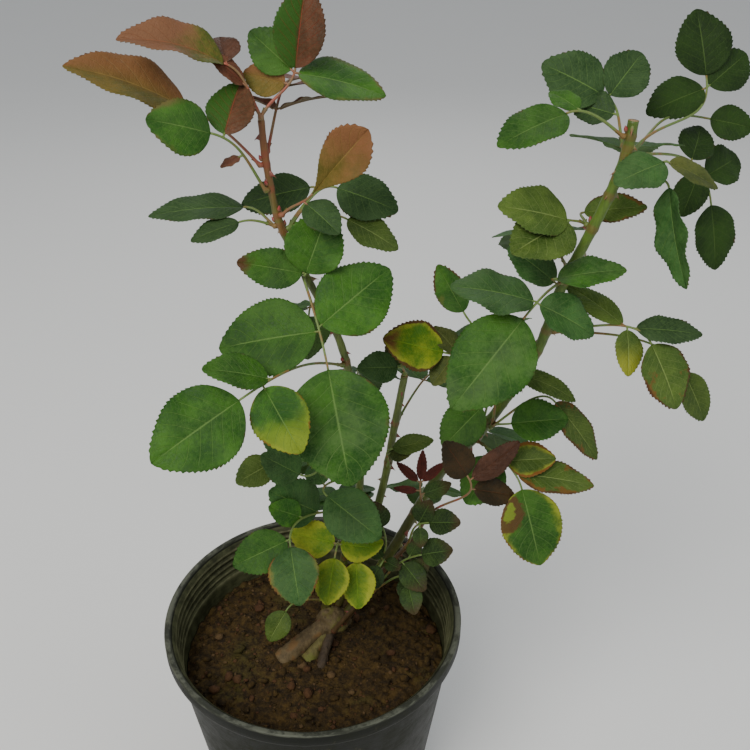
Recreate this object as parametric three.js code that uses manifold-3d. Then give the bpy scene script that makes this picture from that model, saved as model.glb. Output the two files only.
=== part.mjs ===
// A young rose bush in a black nursery pot, in millimetres.
// +Z is up, and -Y is the side that faces the viewer.
// The origin is the middle of the pot's flat underside.

import * as THREE from "three";
import Module from "manifold-3d";

const wasm = await Module();
wasm.setup();

// Pot
const POT_HEIGHT = 195;
const RIM_RADIUS = 110;
const RIM_BAND_HEIGHT = 11;
const RIM_BAND_DEPTH = 3.2;
const RIM_UNDERCUT = 1;
const RIM_TAPER_HEIGHT = 4;
const LIP_DROP = 1.5;
const LIP_INSET = 1.2;
const LIP_STEP = 2;
const SHOULDER_RADIUS = 106;
const BASE_RADIUS = 80;
const WALL = 2.4;
const FLOOR = 3;
const FOOT_ROUNDING = 3;
const OUTER_HEIGHTS = [60, 120];
const INNER_HEIGHT = 100;
const RIB_COUNT = 4;
const RIB_PITCH = 5.5;
const RIB_DEPTH = 0.9;
const TOP_RIB_DROP = 7;
const POT_SIDES = 32;
const DRAIN_COUNT = 8;
const DRAIN_RADIUS = 5;
const DRAIN_CIRCLE = 62;
const DRAIN_SIDES = 8;

// Soil
const SOIL_LEVEL = 155;
const SOIL_SIDES = 28;
const SOIL_RINGS = 6;
const CLOD_HEIGHT = 3.2;
const WAVE_SHARE = 0.45;
const LUMP_SHARE = 0.35;
const SOIL_EDGE_DROP = 1;
const SOIL_EDGE_PLAY = 0.6;
const CALM_CENTRE = [-3, -1];
const CALM_RADIUS = 34;
const CALM_FADE = 1.5;

// Clearance between neighbouring pieces
const GAP = 0.35;

// Slivers thinner than this are taken out of the seams of a join
const SEAM_TOLERANCE = 0.03;

// Crown of the bush with its three bared legs
const CROWN_CENTRE = [14, 12, 173];
const CROWN_RADII = [13, 11.5, 9.5];
const KNOB_SIDES = 11;
const KNOB_ROWS = 7;
const LEG_FLARE = 1.35;
const LEG_SIDES = 8;
const LEG_STEPS = 4;
const LEG_OVERRUN = 4;
const TRIM_WIDTH = 200;
const TRIM_DEPTH = 40;
const SOCKET_DEPTH = 40;
const LEGS = [
  { foot: [-25, -8], footRadius: 6.8, topRadius: 6, bow: 3 },
  { foot: [-6, -9], footRadius: 5, topRadius: 5.2, bow: 1 },
  { foot: [3, -23], footRadius: 3, topRadius: 4, bow: 0 },
];

// Canes: each limb runs through its stations and tapers between two radii
const CANE_SIDES = 7;
const CANE_STRIDE = 16;
const SHORTEST_SHARE = 0.01;
const TANGENT_STEP = 0.004;
const CANES = {
  left: {
    radii: [3.3, 1.9],
    stations: [
      [7, 19, 178], [24, 17, 235], [35, 12, 300], [33, 4, 370], [24, -2, 425],
      [3, -5, 475], [-9, -5, 505], [-14, -5, 540], [-15, -5, 560],
    ],
    cuts: [0.5],
    names: ["left_cane_lower", "left_cane_upper"],
  },
  middle: {
    radii: [3.4, 2.4],
    stations: [[17, 21, 181], [38, 24, 235], [52, 19, 300], [59, 16, 350], [65, 12, 392]],
    cuts: [],
    names: ["middle_cane"],
  },
  right: {
    radii: [3.8, 2.9],
    stations: [
      [25, 15, 178], [56, 20, 232], [92, 16, 312], [116, 10, 349], [136, 4, 390], [149, 0, 424],
      [156, -4, 462], [165, -8, 490], [173, -10, 514], [180, -12, 540], [182, -12, 562],
    ],
    cuts: [0.4, 0.72],
    names: ["right_cane_lower", "right_cane_middle", "right_cane_upper"],
  },
  shoot: {
    radii: [2.2, 1.5],
    stations: [[22, 5, 177], [46, 8, 218], [62, 3, 246], [74, -1, 268], [80, -3, 284]],
    cuts: [],
    names: ["young_shoot"],
  },
  spur: {
    radii: [2, 1.3],
    stations: [[14, 1, 172], [27, 0, 193], [44, -2, 216]],
    cuts: [],
    names: ["low_spur"],
  },
};

// Leaves
const LEAF_THICKNESS = 1.3;
const LEAF_RATIO = 0.78;
const LEAF_SHOULDER = 0.8;
const LEAF_FULLNESS = 0.72;
const LEAF_CURL = 18;
const LEAF_FOLD = 9;
const STILL_SHARE = 0.35;
const TIP_WIDTH_SHARE = 0.6;
const STALK_LENGTH = 2;
const END_STALK_LENGTH = 1.5;
const STALK_WIDTH = 0.7;
const SIDE_HANG = 6;
const PETIOLE_SIDES = 3;
const PETIOLE_RADIUS = 1.05;
const PETIOLE_END_RADIUS = 0.7;
const FORK_SLIMMING = 0.06;
const PETIOLE_STEPS = 5;
const RISE_AT = 0.33;
const RISE_BY = 0.1;
const SETTLE_BY = 0.35;
const COLLAR = 1.5;
const CLEAR_OF_CANE = 1.2;
const CLEAR_ROWS = [0, 0.5];
const CLEAR_COLUMNS = [-1, -0.5, 0, 0.5, 1];
const PAIR_SHARES = { 1: [0.62], 2: [0.42, 0.76] };
const PAIR_SIZE = 0.86;
const PAIR_SIZE_STEP = 0.13;
const PAIR_SWING = [58, 68];
const PAIR_SCATTER = [0.92, 1.08];

const TINTS = {
  green: 0x5f8f58,
  blueGreen: 0x5f8c6c,
  yellow: 0xa9ad4c,
  olive: 0x6d7a4a,
  red: 0xa06a55,
  orange: 0xb08a4e,
  pale: 0x93a566,
  bronze: 0x6e4a3e,
};
const POT_COLOUR = 0x2a302d;
const SOIL_COLOUR = 0x4a3626;
const CROWN_COLOUR = 0x8f7a5c;
const CANE_COLOUR = 0x8d9a4e;
const SHOOT_COLOUR = 0xa26b55;

// Each spray grows from one point of a cane and carries one or more leaves.
// A leaf: where its end leaflet starts, the heading and rise of that leaflet, its length,
// the side its face looks to, and the side leaflets as share of the rachis, swing, length, tilt
// and, where it isn't the usual one, the ratio of width to length.
// A leaf with pairs in place of sides takes its side leaflets from the rule.
const SPRAYS = [
  {
    name: "spray_at_the_left_tip", on: "left", at: 1, tint: "red", leaves: [
      { to: [4, 0, 586], aim: [55, 75], size: 42, face: [270, 20], ratio: 0.7,
        sides: [[0.93, 65, 30, 0], [0.93, -85, 48, -50], [0.7, 115, 24, 0]] },
      { to: [-32, -8, 590], aim: [200, 21], size: 55, face: [270, 62], ratio: 0.52, curl: 45,
        sides: [[0.95, -80, 22, 0, 0.9], [0.45, 22, 25, 0, 0.5]] },
    ],
  },
  {
    name: "orange_spray", on: "left", at: 0.94, tint: "orange", leaves: [
      { to: [-54, -10, 568], aim: [200, 27], size: 63, face: [270, 62], ratio: 0.54, curl: 30, sides: [] },
    ],
  },
  {
    name: "young_left_spray", on: "left", at: 0.905, tint: "green", leaves: [
      { to: [-38, -30, 560], aim: [210, 20], size: 34, face: [270, 35], ratio: 0.85,
        sides: [[0.85, -97, 32, 0], [0.5, 75, 12, 40]] },
    ],
  },
  {
    name: "red_spray", on: "left", at: 0.865, tint: "red", leaves: [
      { to: [12, -18, 524], aim: [345, 50], size: 48, face: [270, 30], ratio: 0.62, shoulder: 1.8,
        sides: [[0.7, -60, 26, -20]] },
    ],
  },
  {
    name: "dusky_left_spray", on: "left", at: 0.84, tint: "blueGreen", leaves: [
      { to: [24, 16, 516], aim: [345, -15], size: 38, face: [270, 50], sides: [] },
      { to: [8, 17, 516], aim: [184, -12], size: 42, face: [270, 50], ratio: 0.62, sides: [] },
      { to: [30, 2, 502], aim: [345, -25], size: 34, face: [270, 65], ratio: 0.66,
        sides: [[0.6, -90, 20, -10]] },
    ],
  },
  {
    name: "left_reaching_spray", on: "left", at: 0.85, tint: "blueGreen", leaves: [
      { to: [-30, 6, 508], aim: [190, 0], size: 54, face: [270, 75], ratio: 0.48, sides: [] },
      { to: [-31, -8, 504], aim: [198, -14], size: 29, face: [270, 65], ratio: 0.56, sides: [] },
    ],
  },
  {
    name: "hanging_front_spray", on: "left", at: 0.795, tint: "green", leaves: [
      { to: [20, -60, 438], aim: [290, -57], size: 66, face: [270, 35], ratio: 0.86,
        sides: [[0.7, -98, 57, 10], [0.67, 118, 53, 0]] },
      { to: [5, -24, 480], aim: [188, 14], size: 37, face: [270, 30], ratio: 0.62, sides: [] },
      { to: [7, -24, 480], aim: [30, 66], size: 37, face: [270, 14], ratio: 0.92, curl: 40, sides: [] },
    ],
  },
  {
    name: "broad_left_spray", on: "left", at: 0.6, tint: "green", leaves: [
      { to: [-25, -90, 437], aim: [215, -20], size: 55, face: [270, 35], ratio: 0.8,
        sides: [[0.78, -40, 36, 40, 0.7], [0.85, 85, 40, 0]] },
    ],
  },
  {
    name: "inner_left_spray", on: "left", at: 0.45, tint: "pale", leaves: [
      { to: [-20, -20, 346], aim: [215, -10], size: 27, face: [270, 45],
        sides: [[0.75, -55, 20, 20]] },
      { to: [-2, -30, 344], aim: [195, 40], size: 30, face: [270, 40], sides: [] },
    ],
  },
  {
    name: "low_left_spray", on: "left", at: 0.275, tint: "blueGreen", leaves: [
      { to: [-8, -52, 303], aim: [285, -45], size: 37, face: [270, 40], ratio: 0.86,
        sides: [[0.42, -25, 42, 0], [0.93, -66, 38, 0, 0.72], [0.62, -40, 24, 0]] },
    ],
  },
  {
    name: "blue_green_spray", on: "left", at: 0.36, tint: "blueGreen", leaves: [
      { to: [15, -28, 325], aim: [330, -25], size: 44, face: [270, 40],
        sides: [[0.7, -130, 22, 0]] },
    ],
  },
  {
    name: "yellowing_spray", on: "left", at: 0.15, tint: "yellow", leaves: [
      { to: [19, -38, 281], aim: [255, -50], size: 31, face: [270, 40],
        sides: [[0.8, -95, 32, 0], [0.8, 115, 29, 0]] },
      { to: [33, -30, 270], aim: [275, -50], size: 31, face: [270, 40], sides: [[0.75, 65, 20, 0]] },
    ],
  },
  {
    name: "pale_basal_spray", on: "left", at: 0.03, tint: "pale", leaves: [
      { to: [-20, -8, 202], aim: [225, -45], size: 25, face: [270, 45], sides: [] },
    ],
  },
  {
    name: "spray_at_the_middle_tip", on: "middle", at: 1, tint: "blueGreen", leaves: [
      { to: [60, 2, 404], aim: [200, 10], size: 27, face: [270, 45],
        sides: [[0.62, -62, 20, 0]] },
    ],
  },
  {
    name: "inner_middle_spray", on: "middle", at: 0.66, tint: "pale", leaves: [
      { to: [58, 4, 340], aim: [356, 18], size: 28, face: [270, 55], ratio: 0.5,
        sides: [[0.62, -60, 17, 0]] },
    ],
  },
  {
    name: "great_right_spray", on: "right", at: 0.765, tint: "blueGreen", leaves: [
      { to: [128, -42, 460], aim: [215, -40], size: 64, face: [270, 40], ratio: 0.72,
        sides: [[0.12, -76, 34, 20], [0.68, -60, 48, 40, 0.84], [0.7, 110, 37, -20]] },
      { to: [148, -27, 478], aim: [355, 12], size: 38, face: [270, 72], ratio: 0.64, sides: [] },
    ],
  },
  {
    name: "blotched_spray", on: "right", at: 0.6, tint: "yellow", leaves: [
      { to: [88, -4, 418], aim: [190, 20], size: 40, face: [270, 40],
        sides: [[0.85, 60, 22, 20], [0.8, -45, 22, 30]] },
      { to: [100, 6, 441], aim: [150, 55], size: 33, face: [250, 25], ratio: 0.6, sides: [] },
    ],
  },
  {
    name: "right_reaching_spray", on: "right", at: 0.68, tint: "pale", leaves: [
      { to: [210, -20, 432], aim: [315, -55], size: 42, face: [290, 35],
        sides: [[0.64, 150, 44, 10, 0.42], [0.66, -75, 28, 0, 0.66], [0.72, 18, 40, -20, 0.46]] },
      { to: [240, -2, 402], aim: [345, -60], size: 38, face: [280, 35], ratio: 0.56, sides: [] },
    ],
  },
  {
    name: "low_right_spray", on: "right", at: 0.49, tint: "green", leaves: [
      { to: [160, -8, 384], aim: [345, -50], size: 50, face: [290, 50], ratio: 0.42, sides: [] },
      { to: [133, -15, 409], aim: [352, -20], size: 42, face: [270, 62], ratio: 0.36, curl: 42,
        sides: [] },
      { to: [132, -14, 372], aim: [355, 10], size: 36, face: [270, 50], sides: [] },
    ],
  },
  {
    name: "hanging_right_spray", on: "right", at: 0.455, tint: "green", leaves: [
      { to: [140, -30, 332], aim: [300, -60], size: 52, face: [270, 35],
        sides: [[0.53, 50, 31, -20], [0.42, -84, 36, 10, 0.84], [0.76, 52, 49, -35, 0.52]] },
      { to: [114, -4, 378], aim: [205, -40], size: 36, face: [270, 45], sides: [[0.8, -70, 20, 0]] },
    ],
  },
  {
    name: "pale_right_spray", on: "right", at: 0.85, tint: "pale", leaves: [
      { to: [153, -12, 507], aim: [190, 16], size: 42, face: [270, 55], sides: [[0.85, 30, 44, 0]] },
      { to: [167, 8, 504], aim: [356, 8], size: 36, face: [270, 50], ratio: 0.52, sides: [] },
    ],
  },
  {
    name: "spray_left_of_the_right_tip", on: "right", at: 0.98, tint: "green", leaves: [
      { to: [144, -22, 568], aim: [205, -15], size: 42, face: [270, 66], ratio: 0.66,
        sides: [[0.75, -60, 20, 0]] },
    ],
  },
  {
    name: "spray_behind_the_right_tip", on: "right", at: 0.965, tint: "green", leaves: [
      { to: [172, 20, 568], aim: [170, 25], size: 38, face: [270, 35], ratio: 0.86,
        sides: [[0.9, -85, 34, 0], [0.5, 60, 26, 0]] },
    ],
  },
  {
    name: "far_right_spray", on: "right", at: 0.955, tint: "olive", leaves: [
      { to: [242, 60, 570], aim: [115, 65], size: 39, face: [270, 30], ratio: 0.86,
        sides: [[0.92, 115, 36, 20], [0.92, -45, 34, 0]] },
      { to: [250, 62, 544], aim: [355, -10], size: 28, face: [270, 30], sides: [] },
      { to: [258, 54, 492], aim: [330, -75], size: 44, face: [270, 30], ratio: 0.6,
        sides: [[0.6, 60, 30, 0], [0.8, 60, 34, 0], [0.72, -70, 28, 0]] },
    ],
  },
  {
    name: "folded_right_spray", on: "right", at: 0.925, tint: "green", leaves: [
      { to: [199, -20, 542], aim: [205, -12], size: 32, face: [270, 60],
        sides: [[0.9, 125, 32, -10, 0.6]] },
      { to: [204, -20, 528], aim: [295, -65], size: 56, face: [200, 20], ratio: 0.42, sides: [] },
    ],
  },
  {
    name: "spray_at_the_shoot_tip", on: "shoot", at: 1, tint: "bronze", leaves: [
      { to: [103, -39, 350], aim: [185, 60], size: 30, face: [270, 40], ratio: 0.7,
        sides: [[0.94, -88, 39, 20, 0.42], [0.8, -108, 30, -10, 0.6]] },
      { to: [76, -12, 326], aim: [80, 65], size: 20, face: [270, 20], ratio: 0.34,
        sides: [
          [0.95, 52, 19, 0, 0.34], [0.95, -48, 19, 0, 0.34], [0.8, 84, 16, 0, 0.34], [0.7, -78, 20, 0, 0.6],
        ] },
    ],
  },
  {
    name: "spray_beside_the_shoot", on: "shoot", at: 0.78, tint: "olive", leaves: [
      { to: [82, -22, 298], aim: [335, 20], size: 23, face: [270, 50],
        sides: [[0.75, 30, 20, 0], [0.8, -105, 14, 0]] },
    ],
  },
  {
    name: "small_low_spray", on: "shoot", at: 0.4, tint: "olive", leaves: [
      { to: [49, -20, 257], aim: [218, -48], size: 20, face: [270, 45],
        sides: [[0.62, 60, 17, 0], [0.62, -60, 13, 0]] },
      { to: [51, -12, 286], aim: [148, 68], size: 20, face: [270, 30], sides: [[0.85, 60, 17, 0]] },
    ],
  },
  {
    name: "spray_at_the_spur_tip", on: "spur", at: 1, tint: "olive", leaves: [
      { to: [78, -20, 268], aim: [335, 30], size: 25, face: [270, 50],
        sides: [[0.8, 35, 14, 0], [0.68, -75, 24, 0]] },
      { to: [69, -22, 242], aim: [285, -35], size: 21, face: [270, 40],
        sides: [[0.8, 60, 20, 0], [0.75, -60, 16, 0]] },
    ],
  },
];

// Sprays on the far sides, hidden from the viewer, all of them by the rule alone
const FAR_SPRAYS = [
  { name: "rear_spray_at_the_left_tip", on: "left", at: 0.955, toward: [70, 30], tint: "red" },
  { name: "rear_upper_left_spray", on: "left", at: 0.7, toward: [100, -30], tint: "green" },
  { name: "rear_middle_left_spray", on: "left", at: 0.53, toward: [78, -18], tint: "blueGreen" },
  { name: "rear_lower_left_spray", on: "left", at: 0.36, toward: [130, -15], tint: "green" },
  { name: "rear_low_spray", on: "left", at: 0.2, toward: [110, 0], tint: "blueGreen" },
  { name: "rear_middle_spray", on: "middle", at: 0.82, toward: [65, 8], tint: "green" },
  { name: "rear_top_right_spray", on: "right", at: 0.9, toward: [72, 16], tint: "green" },
  { name: "rear_upper_right_spray", on: "right", at: 0.78, toward: [108, 5], tint: "blueGreen" },
  { name: "rear_middle_right_spray", on: "right", at: 0.64, toward: [120, -10], tint: "green" },
  { name: "rear_lower_right_spray", on: "right", at: 0.42, toward: [60, -20], tint: "blueGreen" },
  { name: "rear_low_right_spray", on: "right", at: 0.26, toward: [80, -20], tint: "green" },
];
const FAR_REACH = [50, 62];
const FAR_SIZE = [35, 45];
const FAR_RISE_DROP = 40;
const FAR_FACE_RISE = 76;
const FAR_SWERVE = 16;
const FAR_AIM_SWERVE = 20;
const FAR_ONE_PAIR = 0.5;

// Small vector helpers
const V = (a) => new THREE.Vector3(a[0], a[1], a[2]);
const rad = THREE.MathUtils.degToRad;

function towards(heading, rise) {
  const h = rad(heading);
  const r = rad(rise);
  return V([Math.cos(r) * Math.cos(h), Math.cos(r) * Math.sin(h), Math.sin(r)]);
}

function along(a, b, share) {
  return a.clone().lerp(b, share);
}

// The same seeds give the same bush every time
function dice(seed) {
  let state = seed * 7919 + 17;
  return () => {
    state = (state * 16807) % 2147483647;
    return state / 2147483647;
  };
}

// A smooth line through stations, cut into straight strides
function lineThrough(stations) {
  const p = stations.map(V);
  const chord = p.reduce((sum, point, i) => sum + (i ? point.distanceTo(p[i - 1]) : 0), 0);
  const steps = Math.round(chord / CANE_STRIDE);
  const first = p[0].clone().multiplyScalar(2).sub(p[1]);
  const last = p[p.length - 1].clone().multiplyScalar(2).sub(p[p.length - 2]);
  const q = [first, ...p, last];
  const spans = p.length - 1;
  const points = [];
  for (let k = 0; k <= steps; k += 1) {
    const t = (k / steps) * spans;
    const i = Math.min(Math.floor(t), spans - 1);
    const u = t - i;
    const [a, b, c, d] = [q[i], q[i + 1], q[i + 2], q[i + 3]];
    const point = new THREE.Vector3();
    for (const axis of ["x", "y", "z"]) {
      const rise = c[axis] - a[axis];
      const bend = 2 * a[axis] - 5 * b[axis] + 4 * c[axis] - d[axis];
      const twist = 3 * b[axis] - a[axis] - 3 * c[axis] + d[axis];
      point[axis] = 0.5 * (2 * b[axis] + rise * u + bend * u * u + twist * u * u * u);
    }
    points.push(point);
  }
  return points;
}

function measured(points) {
  const reach = [0];
  for (let i = 1; i < points.length; i += 1) {
    reach.push(reach[i - 1] + points[i].distanceTo(points[i - 1]));
  }
  return { points, reach, length: reach[reach.length - 1] };
}

function pointAt(line, share) {
  const target = Math.min(Math.max(share, 0), 1) * line.length;
  let i = 1;
  while (i < line.reach.length - 1 && line.reach[i] < target) i += 1;
  const part = (target - line.reach[i - 1]) / (line.reach[i] - line.reach[i - 1]);
  return along(line.points[i - 1], line.points[i], part);
}

function tangentAt(line, share) {
  const a = pointAt(line, Math.max(share - TANGENT_STEP, 0));
  const b = pointAt(line, Math.min(share + TANGENT_STEP, 1));
  return b.sub(a).normalize();
}

// Closed bodies are gathered as corner and triangle lists
function bodyOf(corners, triangles) {
  const mesh = new wasm.Mesh({
    numProp: 3,
    vertProperties: new Float32Array(corners.flat()),
    triVerts: new Uint32Array(triangles.flat()),
  });
  return new wasm.Manifold(mesh);
}

function geometryOf(body) {
  const mesh = body.getMesh();
  const geometry = new THREE.BufferGeometry();
  const corners = new Float32Array(mesh.vertProperties);
  geometry.setAttribute("position", new THREE.BufferAttribute(corners, 3));
  geometry.setIndex(new THREE.BufferAttribute(new Uint32Array(mesh.triVerts), 1));
  geometry.computeVertexNormals();
  return geometry;
}

function bodyFrom(geometry) {
  const position = geometry.getAttribute("position");
  const index = geometry.getIndex();
  const lookup = new Map();
  const corners = [];
  const ids = [];
  for (let i = 0; i < position.count; i += 1) {
    const p = [position.getX(i), position.getY(i), position.getZ(i)];
    const key = p.map((x) => Math.round(x * 1e4)).join(",");
    if (!lookup.has(key)) {
      lookup.set(key, corners.length);
      corners.push(p);
    }
    ids.push(lookup.get(key));
  }
  const triangles = [];
  const count = index ? index.count : position.count;
  for (let i = 0; i < count; i += 3) {
    const tri = [0, 1, 2].map((k) => ids[index ? index.getX(i + k) : i + k]);
    if (new Set(tri).size === 3) triangles.push(tri);
  }
  return bodyOf(corners, triangles);
}

function joined(bodies) {
  return bodies.reduce((sum, body) => (sum ? sum.add(body) : body), null);
}

// The one whole body of a join: hollows that it seals are filled and scraps are dropped
function wholeOf(body) {
  const pieces = body.simplify(SEAM_TOLERANCE).decompose();
  return pieces.reduce((best, piece) => (piece.volume() > best.volume() ? piece : best));
}

// A limb of round section along a path, closed by a flat end at both ends
function limb(path, radii, sides, startWay, endWay) {
  const corners = [];
  const triangles = [];
  const last = path.length - 1;
  let across = null;
  path.forEach((centre, i) => {
    const before = path[Math.max(i - 1, 0)];
    const after = path[Math.min(i + 1, last)];
    let way = after.clone().sub(before).normalize();
    if (i === 0 && startWay) way = startWay.clone();
    if (i === last && endWay) way = endWay.clone();
    if (!across) across = Math.abs(way.z) < 0.9 ? V([0, 0, 1]) : V([1, 0, 0]);
    across = across.clone().addScaledVector(way, -across.dot(way)).normalize();
    const other = way.clone().cross(across);
    for (let k = 0; k < sides; k += 1) {
      const angle = (2 * Math.PI * k) / sides;
      const corner = centre.clone();
      corner.addScaledVector(across, radii[i] * Math.cos(angle));
      corner.addScaledVector(other, radii[i] * Math.sin(angle));
      corners.push(corner.toArray());
    }
  });
  for (let i = 0; i < last; i += 1) {
    for (let k = 0; k < sides; k += 1) {
      const next = (k + 1) % sides;
      const a = i * sides + k;
      const b = i * sides + next;
      triangles.push([a, b, b + sides], [a, b + sides, a + sides]);
    }
  }
  for (let k = 1; k < sides - 1; k += 1) {
    triangles.push([0, k + 1, k]);
    triangles.push([last * sides, last * sides + k, last * sides + k + 1]);
  }
  return bodyOf(corners, triangles);
}

function outerAt(z) {
  return BASE_RADIUS + (SHOULDER_RADIUS - BASE_RADIUS) * (z / POT_HEIGHT);
}

function innerAt(z) {
  return outerAt(z) - WALL;
}

// Pot: one turned profile with a rim band and moulded rings, then the drain holes
function potBody() {
  const bandFoot = POT_HEIGHT - RIM_BAND_HEIGHT;
  const lipStep = POT_HEIGHT - LIP_STEP;
  const floorEdge = FLOOR + FOOT_ROUNDING;
  const profile = [[0, 0], [BASE_RADIUS - FOOT_ROUNDING, 0], [BASE_RADIUS, FOOT_ROUNDING]];
  [...OUTER_HEIGHTS, bandFoot].forEach((z) => profile.push([outerAt(z), z]));
  profile.push([RIM_RADIUS - RIM_UNDERCUT, bandFoot + RIM_UNDERCUT]);
  profile.push([RIM_RADIUS, bandFoot + RIM_TAPER_HEIGHT], [RIM_RADIUS, POT_HEIGHT - LIP_DROP]);
  profile.push([RIM_RADIUS - LIP_INSET, POT_HEIGHT], [RIM_RADIUS - RIM_BAND_DEPTH, POT_HEIGHT]);
  profile.push([innerAt(lipStep), lipStep]);
  for (let k = 0; k < RIB_COUNT; k += 1) {
    const z = POT_HEIGHT - TOP_RIB_DROP - k * RIB_PITCH;
    profile.push([innerAt(z), z], [innerAt(z) - RIB_DEPTH, z - RIB_PITCH / 2]);
  }
  profile.push([innerAt(INNER_HEIGHT), INNER_HEIGHT], [innerAt(floorEdge), floorEdge]);
  profile.push([innerAt(FLOOR) - FOOT_ROUNDING, FLOOR], [0, FLOOR]);
  const shape = profile.map(([r, z]) => new THREE.Vector2(r, z));
  const turned = new THREE.LatheGeometry(shape, POT_SIDES);
  turned.rotateX(Math.PI / 2);
  let pot = bodyFrom(turned);
  for (let k = 0; k < DRAIN_COUNT; k += 1) {
    const angle = (2 * Math.PI * (k + 0.5)) / DRAIN_COUNT;
    const drill = new THREE.CylinderGeometry(DRAIN_RADIUS, DRAIN_RADIUS, 4 * FLOOR, DRAIN_SIDES);
    drill.rotateX(Math.PI / 2);
    drill.translate(DRAIN_CIRCLE * Math.cos(angle), DRAIN_CIRCLE * Math.sin(angle), FLOOR / 2);
    pot = pot.subtract(bodyFrom(drill));
  }
  return pot;
}

// Soil: fills the pot to its level, cloddy on top but calm under the legs
function clod(x, y) {
  const calm = Math.hypot(x - CALM_CENTRE[0], y - CALM_CENTRE[1]) / CALM_RADIUS;
  const edge = THREE.MathUtils.smoothstep(calm, 1, CALM_FADE);
  const waves = Math.sin(x * 0.21 + y * 0.13) * Math.cos(y * 0.19 - x * 0.07);
  const lumps = Math.sin(x * 0.47 + 1.3) * Math.sin(y * 0.53 + 0.4);
  return edge * CLOD_HEIGHT * (WAVE_SHARE * waves + LUMP_SHARE * lumps);
}

function soilBody() {
  const topRadius = innerAt(SOIL_LEVEL - CLOD_HEIGHT) - RIB_DEPTH - GAP - SOIL_EDGE_PLAY;
  const footRadius = innerAt(FLOOR) - FOOT_ROUNDING - GAP - SOIL_EDGE_PLAY;
  const corners = [[0, 0, SOIL_LEVEL]];
  const triangles = [];
  for (let i = 1; i <= SOIL_RINGS; i += 1) {
    for (let k = 0; k < SOIL_SIDES; k += 1) {
      const angle = (2 * Math.PI * k) / SOIL_SIDES;
      const r = (topRadius * i) / SOIL_RINGS;
      const x = r * Math.cos(angle);
      const y = r * Math.sin(angle);
      const lift = i === SOIL_RINGS ? -SOIL_EDGE_DROP : clod(x, y);
      corners.push([x, y, SOIL_LEVEL + lift]);
    }
  }
  for (let k = 0; k < SOIL_SIDES; k += 1) {
    const angle = (2 * Math.PI * k) / SOIL_SIDES;
    corners.push([footRadius * Math.cos(angle), footRadius * Math.sin(angle), FLOOR + GAP]);
  }
  const ring = (i, k) => 1 + (i - 1) * SOIL_SIDES + (k % SOIL_SIDES);
  const foot = corners.length;
  corners.push([0, 0, FLOOR + GAP]);
  for (let k = 0; k < SOIL_SIDES; k += 1) {
    triangles.push([0, ring(1, k), ring(1, k + 1)]);
    for (let i = 1; i <= SOIL_RINGS; i += 1) {
      triangles.push([ring(i, k), ring(i + 1, k), ring(i + 1, k + 1)]);
      triangles.push([ring(i, k), ring(i + 1, k + 1), ring(i, k + 1)]);
    }
    triangles.push([foot, ring(SOIL_RINGS + 1, k + 1), ring(SOIL_RINGS + 1, k)]);
  }
  return bodyOf(corners, triangles);
}

// Canes, kept as measured lines for the sprays to grow from
const lines = {};
for (const [key, cane] of Object.entries(CANES)) {
  lines[key] = measured(lineThrough(cane.stations));
}

function radiusAt(key, share) {
  const [low, high] = CANES[key].radii;
  return low + (high - low) * share;
}

function canePart(key, from, to) {
  const line = lines[key];
  const within = line.reach.map((reach) => reach / line.length);
  const between = (share) => share > from + SHORTEST_SHARE && share < to - SHORTEST_SHARE;
  const shares = [from, ...within.filter(between), to];
  const path = shares.map((share) => pointAt(line, share));
  const radii = shares.map((share) => radiusAt(key, share));
  return limb(path, radii, CANE_SIDES, tangentAt(line, from), tangentAt(line, to));
}

function caneBodies(key) {
  const cane = CANES[key];
  const marks = [0, ...cane.cuts, 1];
  const half = GAP / 2 / lines[key].length;
  return cane.names.map((name, i) => {
    const from = i === 0 ? 0 : marks[i] + half;
    const to = i === cane.names.length - 1 ? 1 : marks[i + 1] - half;
    return { name, body: canePart(key, from, to) };
  });
}

// Crown: three bared legs that meet in a knob, with a socket for each cane
function crownBody() {
  const top = V(CROWN_CENTRE);
  const knob = new THREE.SphereGeometry(1, KNOB_SIDES, KNOB_ROWS);
  knob.rotateX(Math.PI / 2);
  knob.scale(CROWN_RADII[0], CROWN_RADII[1], CROWN_RADII[2]);
  knob.translate(top.x, top.y, top.z);
  const pieces = [bodyFrom(knob)];
  LEGS.forEach((leg) => {
    const foot = V([leg.foot[0], leg.foot[1], SOIL_LEVEL - LEG_OVERRUN]);
    const path = [];
    const radii = [];
    for (let i = 0; i <= LEG_STEPS; i += 1) {
      const share = i / LEG_STEPS;
      const point = along(foot, top, share);
      point.z += leg.bow * Math.sin(Math.PI * share);
      path.push(point);
      const flare = 1 + (LEG_FLARE - 1) * Math.pow(1 - share, 3);
      radii.push((leg.footRadius + (leg.topRadius - leg.footRadius) * share) * flare);
    }
    pieces.push(limb(path, radii, LEG_SIDES));
  });
  let crown = joined(pieces);
  const slab = new THREE.BoxGeometry(TRIM_WIDTH, TRIM_WIDTH, TRIM_DEPTH);
  slab.translate(0, 0, SOIL_LEVEL + GAP - TRIM_DEPTH / 2);
  crown = crown.subtract(bodyFrom(slab));
  for (const key of Object.keys(CANES)) {
    const start = tangentAt(lines[key], 0);
    const share = SOCKET_DEPTH / lines[key].length;
    const low = pointAt(lines[key], 0).addScaledVector(start, -GAP);
    const high = pointAt(lines[key], share);
    const radius = CANES[key].radii[0] + GAP;
    const mid = pointAt(lines[key], share / 2);
    crown = crown.subtract(limb([low, mid, high], [radius, radius, radius], CANE_SIDES, start));
  }
  return crown;
}

// A petiole and rachis: a short collar out of the cane, then one easy bend to the end leaflet
function rachisOf(foot, out, end, aim) {
  const start = foot.clone().addScaledVector(out, COLLAR);
  const reach = start.distanceTo(end);
  const rising = along(start, end, RISE_AT).add(V([0, 0, RISE_BY * reach]));
  const settling = end.clone().addScaledVector(aim, -SETTLE_BY * reach);
  return new THREE.CubicBezierCurve3(start, rising, settling, end);
}

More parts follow.
